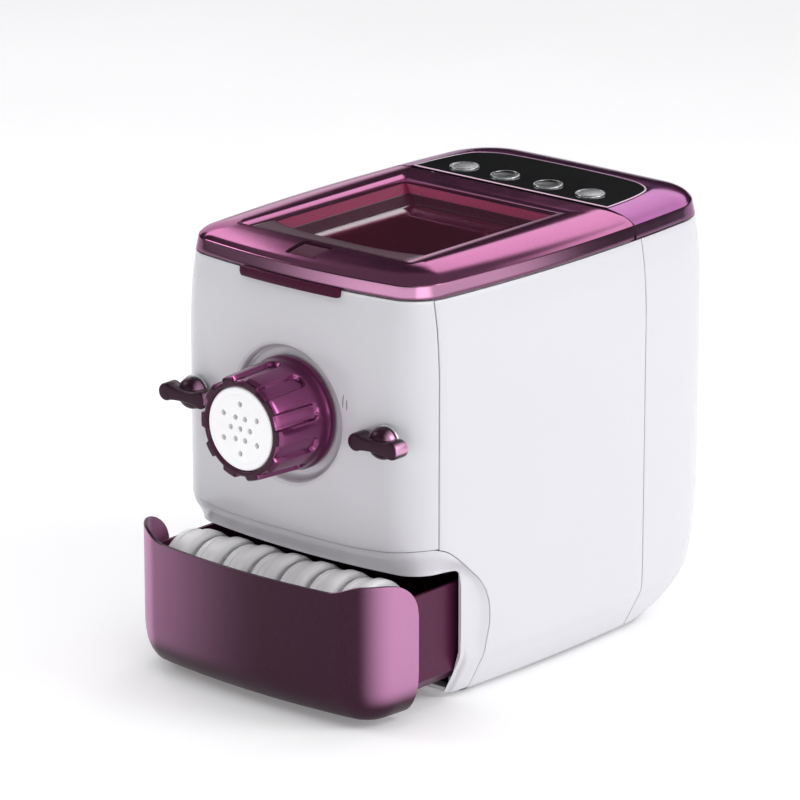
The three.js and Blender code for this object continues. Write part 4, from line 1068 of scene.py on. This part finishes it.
def lid_grip():
    xs = np.concatenate([np.linspace(-44, -42.4, 4), np.linspace(-42.4, 42.4, 60)[1:], np.linspace(42.4, 44, 4)[1:]])
    prof = [(3.9, 288.4), (1.5, 288.7), (0.75, 288.6), (0.35, 288.2), (0.1, 287.0), (0.0, 285.6), (0.1, 284.2), (0.45, 283.0), (1.1, 282.0), (1.9, 281.65), (2.7, 281.8), (3.2, 282.5), (3.45, 283.6), (3.9, 284.6)]
    P = []
    for x in xs:
        endt = max(0.0, (abs(x) - 41.6) / 2.4)
        col = []
        for d, z in prof:
            dd = 0.2 + d + 1.2 * endt * endt
            zz = z + (285.6 - z) * 0.12 * endt * endt
            # the front line of the outline drawn in by dd
            k = 1 - 11.4 / A
            y = YF + dd + 11.7 * (abs(x) / k / A) ** 2
            col.append((x, y, zz))
        P.append(col)
    P = np.array(P)
    n, m = P.shape[:2]
    faces = grid_faces(n, m, cv=True)
    faces.append(tuple(range(m)))
    faces.append(tuple((n - 1) * m + j for j in reversed(range(m))))
    ob = new_object("lid_finger_grip", P.reshape(-1, 3), faces, [CATCH], "lid", "dark_plum", "lid_grip", flip="closed", sharp=45)
    return keep(ob)


lid_grip()


# ------------------------------------------------------------------ rear deck and control panel
PANEL_HALF = [(88, 62.4), (86.5, 84), (84, 102), (80, 115), (72, 124), (58, 129.5), (30, 132), (0, 132.6)]


def panel_outline(inset, y0=62.4, n=96):
    p = np.array([(x - inset * (1 if x > 60 else 0.0), y - (inset if x < 75 else 0)) for x, y in PANEL_HALF])
    p[0, 1] = y0 + inset
    # smooth curve through the points
    s = np.concatenate([[0], np.cumsum(np.linalg.norm(np.diff(p, axis=0), axis=1))])
    fx, fy = pchip(s, p[:, 0]), pchip(s, p[:, 1])
    t = np.linspace(0, s[-1], n)
    return np.stack([fx(t), fy(t)], -1)


def deck():
    n = 96
    yb = 61.25
    inner = panel_outline(-0.35, 61.25, n)
    inner_low = panel_outline(-0.30, 61.25, n)
    inset_in = panel_outline(0.0, 61.25, n)

    def outer(d):
        qe = float(solve(lambda q: ringpt(q, d, d, d)[1], yb, 1.9, 4.5, np.zeros(1))[0])
        # same share of the way from the seam to the rear centre
        a = np.concatenate([np.linspace(qe, 3, 28), np.linspace(3, 4, 40)[1:], np.linspace(4, 5, 30)[1:]])
        x, y = ringpt(np.clip(a, 0, 5), d, d, d)
        return np.stack([x, y], -1)

    n_o = len(outer(8))
    # resample the inner outline to the same count
    def resample(p, k):
        s = np.concatenate([[0], np.cumsum(np.linalg.norm(np.diff(p, axis=0), axis=1))])
        t = np.linspace(0, s[-1], k)
        return np.stack([np.interp(t, s, p[:, 0]), np.interp(t, s, p[:, 1])], -1)

    inn = resample(panel_outline(-0.35, yb, 200), n_o)
    inn2 = resample(panel_outline(-0.9, yb, 200), n_o)
    rows = []

    def add(xy, z):
        rows.append(np.concatenate([xy, np.broadcast_to(np.asarray(z, float), (len(xy),))[:, None]], 1))

    add(inn, 302.8)
    add(inn, 304.3)
    add(inn * 0.8 + inn2 * 0.2, 304.62)
    add(inn2, 304.7)
    base = outer(36)
    for k in (0.25, 0.6):
        mix = inn2 * (1 - k) + base * k
        add(mix, 304.72 - 0.02 * k)
    for d in (36, 31, 26.5, 22.5, 19, 16, 13.6, 11.8, 10.4, 9.2, 8.3, 7.9):
        add(outer(d), CROWN(d))
    for d, z in ((7.75, 296.35), (7.5, 295.6), (6.9, 293.2), (6.1, 290.2), (5.6, 288.2), (5.55, 287.7), (5.8, 287.4), (7.8, 287.4), (8.1, 288), (10.2, 294), (13.5, 297), (22, 300), (34, 301.9)):
        add(outer(d), z)
    R = np.stack(rows, 1)
    L = R[::-1].copy()
    L[..., 0] *= -1
    P = np.concatenate([R, L[1:]], 0)
    n1, m = P.shape[:2]
    faces = grid_faces(n1, m)
    parts = [(P.reshape(-1, 3), faces)]
    # front wall of the deck behind the lid
    xw = np.linspace(-112.2, 112.2, 90)
    zt = np.minimum(CROWN(np.maximum(7.9, d_side(xw, yb))), 304.7)
    zt = np.where(np.abs(xw) < 88.2, 302.9, zt)
    W = []
    for x, z in zip(xw, zt):
        W.append([(x, yb, 287.6), (x, yb, 292), (x, yb, 297.5), (x, yb, z)])
    W = np.array(W)
    parts.append((W.reshape(-1, 3), grid_faces(*W.shape[:2])))
    # points along a ledge under the panel, not used in the mesh
    led = [(x, yb, 302.9) for x in np.linspace(-88, 88, 60)]
    V, F, I = merge(parts)
    ob = new_object("deck_shell", V, F, [DECK_PLUM], "chassis", "metallic_purple", "deck_housing", flip=(0, 100, 200))
    ob.data.set_sharp_from_angle(angle=math.radians(34))
    keep(ob)
    # hinge ears with their pins
    ear = rounded([(53.8, 287.9), (66, 287.9), (66, 291.2), (59.4, 291.2), (58.4, 293), (58.4, 300), (57.7, 301.7), (56, 302.4), (54.3, 301.7), (53.6, 300)], 0.8, 3)
    parts = []
    for s in (-1, 1):
        x0, x1 = (84, 88) if s > 0 else (-88, -84)
        k = len(ear)
        v = [(x0, y, z) for y, z in ear] + [(x1, y, z) for y, z in ear]
        f = [tuple(range(k)), tuple(range(2 * k - 1, k - 1, -1))] + [(i, k + i, k + (i + 1) % k, (i + 1) % k) for i in range(k)]
        parts.append((v, f))
        a, b = (87.5, 95) if s > 0 else (-95, -87.5)
        parts.append(lathe_x([(0.001, a), (1.3, a), (1.3, b), (0.001, b)], 20, HINGE_Y, HINGE_Z))
    V, F, I = merge(parts)
    e = new_object("hinge_ears", V, F, [PURPLE], "chassis", "metallic_purple", "deck_housing", flip="closed", sharp=35)
    keep(e)


deck()

BUTTONS = [-57.0, -19.5, 19.5, 57.0]
BY = 82.0


def control_panel():
    n = 120
    seq = []
    for inset, z in ((0.0, 303.1), (0.0, 304.5), (0.12, 304.8), (0.4, 304.98), (1.1, 305.0), (1.25, 304.93), (1.6, 304.93)):
        h = panel_outline(inset, 62.4, n)
        left = h[::-1][1:].copy()
        left[:, 0] *= -1
        loop = np.concatenate([h, left])
        seq.append(np.concatenate([loop, np.full((len(loop), 1), z)], 1))
    k = len(seq[0])
    P = np.stack(seq, 1)
    # front edge closes between the two ends of each loop
    faces = grid_faces(k, P.shape[1], cu=True)
    m = P.shape[1]
    faces.append(tuple(i * m + m - 1 for i in range(k)))
    faces.append(tuple(i * m for i in reversed(range(k))))
    idx = []
    for f in faces:
        ks = sorted({i % m for i in f})
        idx.append(1 if ks[:1] and len(ks) == 2 and 1 <= ks[0] <= 3 else 0)
    ob = new_object("control_glass", P.reshape(-1, 3), faces, [BLACK, EDGE], "chassis", "panel_black", "control_panel", index=idx, flip="closed")
    cs = []
    for x in BUTTONS:
        v, f = lathe_z([(0.001, 290), (11.0, 290), (11.0, 320), (0.001, 320)], 64, x, BY)
        cs.append(cutter("b", v, f))
    cut(ob, *cs)
    ob.data.set_sharp_from_angle(angle=math.radians(30))
    return keep(ob)


control_panel()


def buttons():
    names = ["button_power", "button_mode", "button_minus", "button_start"]
    for i, x in enumerate(BUTTONS):
        bright = i in (0, 3)
        ring = profile_round([(3.0, 298.0), (3.0, 304.1), (10.55, 304.1), (10.6, 305.5), (10.1, 306.15), (9.3, 306.1)], 0.25, 3)
        if bright:
            top = [(9.2, 305.95), (8.8, 305.8), (8.2, 305.86), (6.0, 306.02), (3.0, 306.12), (0.02, 306.15)]
        else:
            top = [(9.2, 305.9), (8.8, 305.5), (8.0, 305.3), (6.0, 305.1), (3.0, 304.95), (0.02, 304.9)]
        v, f = lathe_z([(0.02, 298.0)] + ring + top, 72, x, BY)
        m = 1 + len(ring) + len(top)
        idx = []
        for q in f:
            j = min(p % m for p in q)
            idx.append(1 if j >= 1 + len(ring) and not bright else 0)
        ob = new_object("button_%d_cap" % (i + 1), v, f, [SATIN, SMOKE], names[i], "button_chrome", "button_%d" % (i + 1), index=idx, flip="closed", sharp=38)
        keep(ob)


buttons()


# ------------------------------------------------------------------ nut and dies
def nut():
    # open [r, y] profile from the rear inside edge, round the flange, along the fluted barrel, over the rim and back inside
    prof = [(31.9, -163.8), (37.2, -163.7), (38.6, -164.1), (39.4, -164.9), (39.6, -165.8), (39.6, -168.6), (39.35, -169.6), (38.9, -170.7), (38.45, -172.2)]
    ys = np.concatenate([np.linspace(-174, -186, 14), np.linspace(-187, -213.2, 20)])
    for y in ys:
        prof.append((38.3 - (38.3 - 36.15) * ((-172.5 - y) / 42.0), y))
    prof += [(36.05, -214.4), (35.75, -215.5), (35.2, -216.4), (34.6, -216.95), (33.9, -217.15), (31.5, -217.2), (30.0, -217.15), (29.6, -216.9), (29.4, -216.3), (29.4, -208.2), (31.9, -206.9)]

    def flutes(R, Y, T):
        # ten flat-bottomed channels, square at the sides and rounded at the rear end
        u = ((T - math.radians(18)) / (2 * math.pi / 10)) % 1.0
        u = np.abs(np.where(u > 0.5, u - 1, u)) * (2 * math.pi / 10) * 37.5  # mm from the middle of a channel
        half = 5.9 - 0.7 * np.clip((Y + 217) / 40, 0, 1)
        end = -179.3
        # rounded rear end
        over = np.clip((Y - (end - 5.0)) / 5.0, 0, 1)
        half_y = half * np.sqrt(np.maximum(0, 1 - over ** 2.6))
        w = np.clip((half_y - u) / 1.5 + 0.5, 0, 1)
        w = w * w * (3 - 2 * w)
        ylim = np.clip((end - Y) / 1.4 + 0.2, 0, 1)
        depth = 2.7 * w * ylim
        outer = R > 33.0
        fade = np.clip((R - 31.0) / 3.5, 0, 1)
        return np.where((Y < -172) & (Y > -216.9) & outer, R - depth, np.where((Y <= -216.9), R - depth * fade, R))

    v, f = lathe_y(prof, 360, 0, AXIS_Z, flutes, closed=True)
    ob = new_object("locking_nut_shell", v, f, [NUT_PLUM, DARK], "nut", "metallic_purple", "locking_nut", flip="closed")
    me = ob.data
    # the flat front face takes the near-black plum instead of the barrel's plum: painted shade
    idx = []
    for p in me.polygons:
        c = p.center
        y = c.y * 1000 - SHIFT
        r = math.hypot(c.x * 1000, c.z * 1000 - AXIS_Z)
        idx.append(1 if (y < -216.2 and r < 35.3) else 0)
    me.polygons.foreach_set("material_index", idx)
    me.set_sharp_from_angle(angle=math.radians(50))
    return keep(ob)


nut()

HOLES = [(0.0, 0.0)] + [(8.6 * math.cos(i * math.pi / 3), 8.6 * math.sin(i * math.pi / 3)) for i in range(6)] + [(17.2 * math.cos((i + 0.5) * math.pi / 3), 17.2 * math.sin((i + 0.5) * math.pi / 3)) for i in range(6)]


def installed_die():
    prof = profile_round([(0.02, -204.4), (31, -204.4), (31, -206.5), (28.9, -207.6), (28.9, -215.3), (27.9, -216.35), (24.5, -216.4), (24.0, -216.2), (23.4, -216.35), (0.02, -216.4)], 0.5, 3)
    v, f = lathe_y(prof, 96, 0, AXIS_Z)
    ob = new_object("front_die", v, f, [DIE_WHITE], "die_seat", "white_plastic", "installed_die", flip="closed")
    cs = []
    for x, z in HOLES:
        cv, cf = lathe_y([(0.01, -230), (2.9, -230), (1.9, -214.6), (1.9, -198), (0.01, -198)], 24, x, AXIS_Z + z)
        cs.append(cutter("h", cv, cf))
    cut(ob, *cs)
    ob.data.set_sharp_from_angle(angle=math.radians(32))
    return keep(ob)


installed_die()


def spare_dies():
    for i in range(7):
        cx = -85 + i * 26.0
        # local axis runs along X; +X is the side with the holes
        prof = [(0.02, -11), (25.2, -11), (26.3, -10.2), (27.0, -9.2), (27.4, -8.0), (27.5, -5.2), (26.9, -4.8), (26.9, -4.2), (27.5, -3.8), (27.5, 1.4), (27.8, 2.0), (29.0, 2.7), (29.5, 3.6), (29.5, 8.6), (29.2, 9.8), (28.3, 10.7), (27.0, 11.0), (24.6, 10.9), (24.0, 10.3), (23.4, 10.0), (13.2, 10.0), (12.6, 10.3), (11.8, 10.9), (0.02, 11.0)]
        prof = [(r, cx + a) for r, a in prof]
        v, f = lathe_x(prof, 96, -119.0 - OUT, 63.4)
        ob = new_object("spare_die_%d_disc" % (i + 1), v, f, [DIE_WHITE], "drawer", "white_plastic", "spare_die_%d" % (i + 1), flip="closed")
        if i == 6:
            cs = []
            for k in range(16):
                t = k * math.pi / 8
                yy, zz = -169 + 21.6 * math.cos(t), 63.4 + 21.6 * math.sin(t)
                cs.append(cutter("d", *lathe_x([(0.01, cx + 3), (1.45, cx + 3), (1.45, cx + 16), (0.01, cx + 16)], 16, yy, zz)))
            for k in range(6):
                t = k * math.pi / 3 + 0.3
                yy, zz = -169 + 7.0 * math.cos(t), 63.4 + 7.0 * math.sin(t)
                cs.append(cutter("d", *lathe_x([(0.01, cx + 3), (1.5, cx + 3), (1.5, cx + 16), (0.01, cx + 16)], 16, yy, zz)))
            cut(ob, *cs)
        ob.data.set_sharp_from_angle(angle=math.radians(40))
        keep(ob)


spare_dies()


# ------------------------------------------------------------------ wing knobs
def wing_knob(sign):
    cx = sign * KNOB_X
    pts = []
    for t in np.linspace(-2.15, 2.15, 25):
        pts.append((15.5 + 6.2 * math.cos(t), 6.2 * math.sin(t)))
    r_end = pts[-1]
    # waist: a hollow curve from one lobe to the other
    for x in np.linspace(r_end[0], -r_end[0], 19)[1:-1]:
        u = abs(x) / r_end[0]
        pts.append((x, 4.1 + (r_end[1] - 4.1) * u ** 2.4))
    for t in np.linspace(math.pi - 2.15, math.pi + 2.15, 25):
        pts.append((-15.5 + 6.2 * math.cos(t), 6.2 * math.sin(t)))
    for x in np.linspace(-r_end[0], r_end[0], 19)[1:-1]:
        u = abs(x) / r_end[0]
        pts.append((x, -(4.1 + (r_end[1] - 4.1) * u ** 2.4)))
    n = len(pts)
    P = np.array(pts)
    # the outline's own normals, for rounded front and rear edges
    nxt, prv = np.roll(P, -1, 0), np.roll(P, 1, 0)
    T = nxt - prv
    N = np.stack([T[:, 1], -T[:, 0]], -1)
    N /= np.linalg.norm(N, axis=1)[:, None]
    rings = []
    for off, y in ((-1.6, -170.0), (-0.4, -170.1), (0.0, -170.6), (0.0, -175), (0.0, -180.2), (-0.12, -180.9), (-0.45, -181.5), (-0.95, -181.85), (-1.6, -182.0)):
        Q = P + N * off
        rings.append(np.stack([cx + Q[:, 0], np.full(n, float(y)), KNOB_Z + Q[:, 1]], -1))
    G = np.stack(rings, 1)
    m = G.shape[1]
    faces = grid_faces(n, m, cu=True)
    V = G.reshape(-1, 3).tolist()

    def cap(row, y, flipit):
        # one face across the outline's ring at this row
        base = [i * m + row for i in range(n)]
        faces.append(tuple(base if flipit else reversed(base)))

    cap(m - 1, -182, False)
    cap(0, -170, True)
    hub = profile_round([(0.02, -168.7), (10.6, -168.7), (11.2, -169.4), (11.2, -171.0), (10.6, -173.6), (9.2, -175.8), (7.2, -177.4), (4.5, -178.4), (0.02, -178.8)], 0.6, 2)
    hv, hf = lathe_y(hub, 56, cx, KNOB_Z)
    V, F, I = merge([(V, faces), (hv, hf)])
    side = "left" if sign < 0 else "right"
    ob = new_object(side + "_knob_wing", V, F, [KNOB], side + "_knob", "metallic_purple", side + "_wing_knob", flip="closed", sharp=40)
    return keep(ob)


# painted highlight on the knob's sideways faces and painted shade on the faces turned down
KNOB = sheen_painted_lacquer("knob_plum", (0.024, 0.006, 0.014), (0.62, 0.32, 0.50), 0.35, 0.85)
wing_knob(-1)
wing_knob(1)


def washers():
    for s in (-1, 1):
        side = "left" if s < 0 else "right"
        p = profile_round([(4.5, -167.3), (4.5, -168.3), (12.2, -168.4), (12.3, -167.2), (4.5, -167.2)], 0.2, 2)
        v, f = lathe_y(p, 56, s * KNOB_X, KNOB_Z)
        keep(new_object(side + "_washer_ring", v, f, [STEEL_Y], side + "_washer", "steel", side + "_knob_washer", flip="closed", sharp=40))


washers()


# ------------------------------------------------------------------ drawer
WING = pchip([-144, -135.5, -128, -122, -118.6, -117.5], [102.0, 100.3, 96.2, 90.0, 83.0, 76.0])


def band_pt(q, z, extra=0.0):
    d = BAND(z) + extra
    return ringpt(q, d, d, np.full(np.shape(d), 30.0))


def drawer_front():
    # columns from the front centre round to the wing's rear edge
    def top_at(q):
        x, y = band_pt(q, np.full(np.shape(q), 90.0))
        f = 95.5 + 6.5 * np.sin(np.clip((x / 100 - 0.75) / 0.25, 0, 1) * math.pi / 2) ** 2
        w = np.where(y > -144, WING(np.minimum(y, -117.5)), 103.0)
        return np.minimum(f, w)

    zs_lo = np.array([4.6, 5.6, 7, 8.6, 10.5, 12.6, 15, 17.4, 20, 23.4, 27, 31, 36, 42, 49, 56, 63, 70, 76])
    qe = solve(lambda q: band_pt(q, np.full(np.shape(q), 70.0))[1], -117.5, 1.0, 2.9, np.zeros(1))[0]
    c = np.concatenate([np.linspace(0, 1, 40), 1 + np.linspace(0, 1, 26)[1:], 2 + (qe - 2) * (1 - (1 - np.linspace(0, 1, 18)[1:]) ** 1.8)])
    P = []
    for q in c:
        if q > 2:
            # the wing's rear edge stays at one y at every height
            ytar = band_pt(np.array([q]), np.array([70.0]))[1][0]
        zt = float(top_at(np.array([q]))[0])
        zs = np.concatenate([zs_lo[:-1], np.linspace(76, zt, 12) if zt > 76.3 else 75.9 + np.linspace(0.1, max(0.2, zt - 75.9), 12)])
        if q > 2:
            qq = solve(lambda k: band_pt(k, zs)[1], ytar, 1.0, 2.95, zs)
        else:
            qq = np.full(len(zs), q)
        x, y = band_pt(qq, zs)
        P.append(np.stack([x, y - OUT, zs], -1))
    R = np.array(P)
    L = R[::-1].copy()
    L[..., 0] *= -1
    G = np.concatenate([L[:-1], R], 0)
    ob = new_object("drawer_front_shell", G.reshape(-1, 3), grid_faces(*G.shape[:2]), [DRAWER], "drawer", "metallic_purple", "drawer_front", flip=(0, -120, 70))
    solidify(ob, 2.4)
    bevel(ob, 0.7, 3)
    apply_mods(ob, 50)
    keep(ob)
    # floor behind the rolled-under edge
    qz = np.concatenate([np.linspace(0, 1, 30), 1 + np.linspace(0, 1, 30)[1:]])
    d = 17.0
    xx, yy = ringpt(qz, d, d, 30.0)
    ok = yy < -149.0
    xx, yy = xx[ok], yy[ok]
    W = []
    for x, y in list(zip(-xx[::-1], yy[::-1]))[:-1] + list(zip(xx, yy)):
        W.append([(x, y - OUT, 4.75), (x, y - OUT, 7.0), (x, -148.4 - OUT, 7.0), (x, -148.4 - OUT, 4.75)])
    W = np.array(W)
    m = len(W)
    f = grid_faces(m, 4, cv=True) + [(0, 1, 2, 3), tuple(4 * (m - 1) + k for k in (3, 2, 1, 0))]
    ob = new_object("drawer_front_floor", W.reshape(-1, 3), f, [DARK], "drawer", "dark_plum", None, flip="closed", sharp=40)
    keep(ob)


# painted highlight on the drawer front's rounded corners, reaching further in on the left, and painted shade where it
# curls under
DRAWER = sheen_painted_lacquer("drawer_plum", (0.030, 0.006, 0.017), (0.47, 0.21, 0.38), 0.25, 0.67, lean=0.30)
drawer_front()

# ------------------------------------------------------------------ CAD nodes that stay, with their finishes
finish_of = {
    "base_plate": WHITE_IN, "top_frame": WHITE_IN, "front_frame": STEEL_Z, "left_stud": STEEL_Y, "right_stud": STEEL_Y,
    "bulkhead": STEEL_Z, "mixing_bowl": BOWL_CLEAR, "extruder_barrel": DIE_WHITE, "control_board": BOARD, "gearbox_case": STEEL_Z,
    "gearbox_cover": STEEL_Z, "motor_body": STEEL_Y, "power_board": BOARD, "power_inlet": SOCKET, "left_drawer_runner": NYLON,
    "right_drawer_runner": NYLON, "drawer_tray": TRAY, "die_rack": NYLON, "mixing_shaft": NYLON, "auger_screw": NYLON,
    "output_gear": NYLON, "intermediate_gear": NYLON, "motor_rotor": STEEL_Y,
    "foot_front_left": RUBBER, "foot_front_right": RUBBER, "foot_rear_left": RUBBER, "foot_rear_right": RUBBER,
    "base_screw_1": STEEL_Y, "base_screw_2": STEEL_Y, "base_screw_3": STEEL_Y, "base_screw_4": STEEL_Y,
}
for name, mat in finish_of.items():
    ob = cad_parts[name]
    if not ob.data.materials:
        ob.data.materials.append(mat)
    for s in ob.material_slots:
        s.link = "OBJECT"
        s.material = mat
    if name in ("drawer_tray", "mixing_bowl", "die_rack", "power_inlet", "extruder_barrel", "base_plate", "top_frame"):
        bevel(ob, 0.5 if name == "drawer_tray" else 0.4, 2, 40)


# two thin index marks beside the nut
def marks():
    parts = []
    for x, z0, z1 in ((49.0, 207.5, 217.0), (52.2, 206.5, 213.5)):
        cols = []
        for k in range(12):
            z = z0 + (z1 - z0) * k / 11
            w = 0.32 * (0.35 + 0.65 * math.sin(math.pi * (k + 0.5) / 12))
            xx = x + (0.9 * (k / 11) ** 3 if x < 50 else 0)
            y0 = float(front_y(np.array([xx]), np.array([z]))[0])
            cols.append([(xx - w, y0 + 0.1, z), (xx - w, y0 - 0.12, z), (xx + w, y0 - 0.12, z), (xx + w, y0 + 0.1, z)])
        W = np.array(cols)
        f = grid_faces(12, 4, cv=True) + [(0, 1, 2, 3), (44, 47, 46, 45)]
        parts.append((W.reshape(-1, 3).tolist(), f))
    V, F, I = merge(parts)
    keep(new_object("index_marks", V, F, [MARK], "chassis", "panel_black", None, smooth=False, flip="closed"))


MARK = plastic("mark_grey", (0.10, 0.10, 0.12), 0.4, var=0.2)
marks()

for ob in built:
    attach(ob, ob["_body"])
    if ob["_node"]:
        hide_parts(ob["_node"])
    for k in ("_body", "_slot", "_node"):
        del ob[k]


# ------------------------------------------------------------------ floor and light
TOP_LIGHT, SIDE_LIGHT, SIDE_BAND, BACK_BAND, LEFT_PATCH, LEFT_LOW, FRONT_BAND, KEY, TOP, FILL, FLOOR_GLOW = 0.20, 0.7, 2.0, 2.6, 3.0, 1.3, 2.6, 24.0, 20.0, 12.0, 0.16


def floor_and_light():
    me = bpy.data.meshes.new("floor")
    s = 14.0
    n = 24
    V = [((i / n - 0.5) * 2 * s, (j / n - 0.5) * 2 * s, -0.0002) for i in range(n + 1) for j in range(n + 1)]
    me.from_pydata(V, [], grid_faces(n + 1, n + 1))
    m, nt, b = material("floor_pale", (0.93, 0.93, 0.935), 0.7, spec=0.1)
    v = coords(nt)
    nt.links.new(ramp(nt, noise(nt, v, 3.0, 2), [(0.4, (0.92, 0.92, 0.925)), (0.6, (0.94, 0.94, 0.945))]), b.inputs["Base Color"])
    b.inputs["Emission Color"].default_value = (1, 1, 1, 1)
    b.inputs["Emission Strength"].default_value = FLOOR_GLOW
    me.materials.append(m)
    ob = bpy.data.objects.new("floor", me)
    bpy.context.scene.collection.objects.link(ob)

    w = bpy.data.worlds.new("studio")
    bpy.context.scene.world = w
    w.use_nodes = True
    nt = w.node_tree
    bg = nt.nodes["Background"]
    tc = nt.nodes.new("ShaderNodeTexCoord")
    sep = nt.nodes.new("ShaderNodeSeparateXYZ")
    nt.links.new(tc.outputs["Generated"], sep.inputs[0])

    def step(sock, a, b, lo, hi):
        r = nt.nodes.new("ShaderNodeMapRange")
        r.interpolation_type = "SMOOTHSTEP"
        for k, v in zip(("From Min", "From Max", "To Min", "To Max"), (a, b, lo, hi)):
            r.inputs[k].default_value = v
        nt.links.new(sock, r.inputs["Value"])
        return r.outputs["Result"]

    def add(a, b):
        m = nt.nodes.new("ShaderNodeMath")
        m.operation = "ADD"
        nt.links.new(a, m.inputs[0])
        nt.links.new(b, m.inputs[1])
        return m.outputs[0]

    def mul(a, b):
        m = nt.nodes.new("ShaderNodeMath")
        m.operation = "MULTIPLY"
        nt.links.new(a, m.inputs[0])
        nt.links.new(b, m.inputs[1])
        return m.outputs[0]

    # a dim ceiling, a bright window band behind and one along the horizon in front, a dark wall low down behind
    X, Y, Z = sep.outputs["X"], sep.outputs["Y"], sep.outputs["Z"]
    ceiling = add(step(Z, 0.60, 0.74, 0.0, TOP_LIGHT), mul(step(Z, 0.30, 0.46, 0.0, SIDE_LIGHT), step(X, 0.36, 0.56, 0.0, 1.0)))
    side = mul(mul(step(X, 0.64, 0.76, 0.0, SIDE_BAND), step(Z, -0.02, 0.05, 0.0, 1.0)), step(Z, 0.40, 0.30, 0.0, 1.0))
    left = mul(mul(step(X, -0.640, -0.685, 0.0, LEFT_PATCH), step(Z, 0.42, 0.50, 0.0, 1.0)), mul(step(Z, 0.78, 0.70, 0.0, 1.0), step(Y, 0.05, 0.18, 0.0, 1.0)))
    left_low = mul(mul(step(X, -0.645, -0.685, 0.0, LEFT_LOW), step(Z, -0.02, 0.03, 0.0, 1.0)), mul(step(Z, 0.50, 0.42, 0.0, 1.0), step(Y, 0.30, 0.45, 0.0, 1.0)))
    back = mul(mul(step(Z, 0.285, 0.335, 0.0, BACK_BAND), step(Z, 0.70, 0.60, 0.0, 1.0)), mul(step(Y, 0.655, 0.715, 0.0, 1.0), step(X, 0.42, 0.28, 0.0, 1.0)))
    flat = step(X, -0.612, -0.580, 0.0, 1.0)
    front = mul(mul(step(Z, 0.0, 0.06, 0.0, 1.0), step(Z, 0.25, 0.17, 0.0, 1.0)), mul(step(Y, 0.0, -0.35, 0.0, FRONT_BAND), step(X, -0.76, -0.42, 0.10, 1.0)))
    val = add(add(add(ceiling, side), add(mul(back, flat), add(left, left_low))), add(front, step(Y, 0.35, -0.45, 0.02, 0.04)))
    nt.links.new(val, bg.inputs["Strength"])
    bg.inputs["Color"].default_value = (0.985, 0.98, 1.0, 1)

    def area(name, at, to, size, power, color=(1, 1, 1), size_y=None, glossy=True):
        l = bpy.data.lights.new(name, "AREA")
        l.shape = "RECTANGLE"
        l.size = size
        l.size_y = size_y or size
        l.energy = power
        l.color = color
        o = bpy.data.objects.new(name, l)
        bpy.context.scene.collection.objects.link(o)
        o.location = at
        o.rotation_euler = (Vector(to) - Vector(at)).to_track_quat("-Z", "Y").to_euler()
        o.visible_camera = False
        o.visible_glossy = glossy
        return o

    area("key_right", (2.1, 0.95, 1.9), (0, 0, 0.2), 1.2, KEY, size_y=1.2)
    area("top_soft", (-0.2, -0.2, 2.4), (0, 0, 0.2), 2.2, TOP, size_y=2.2, glossy=False)
    area("fill_left", (-2.0, -1.1, 1.5), (0, -0.1, 0.2), 0.8, FILL, size_y=0.8)
    bpy.context.scene.view_settings.view_transform = "Standard"


floor_and_light()
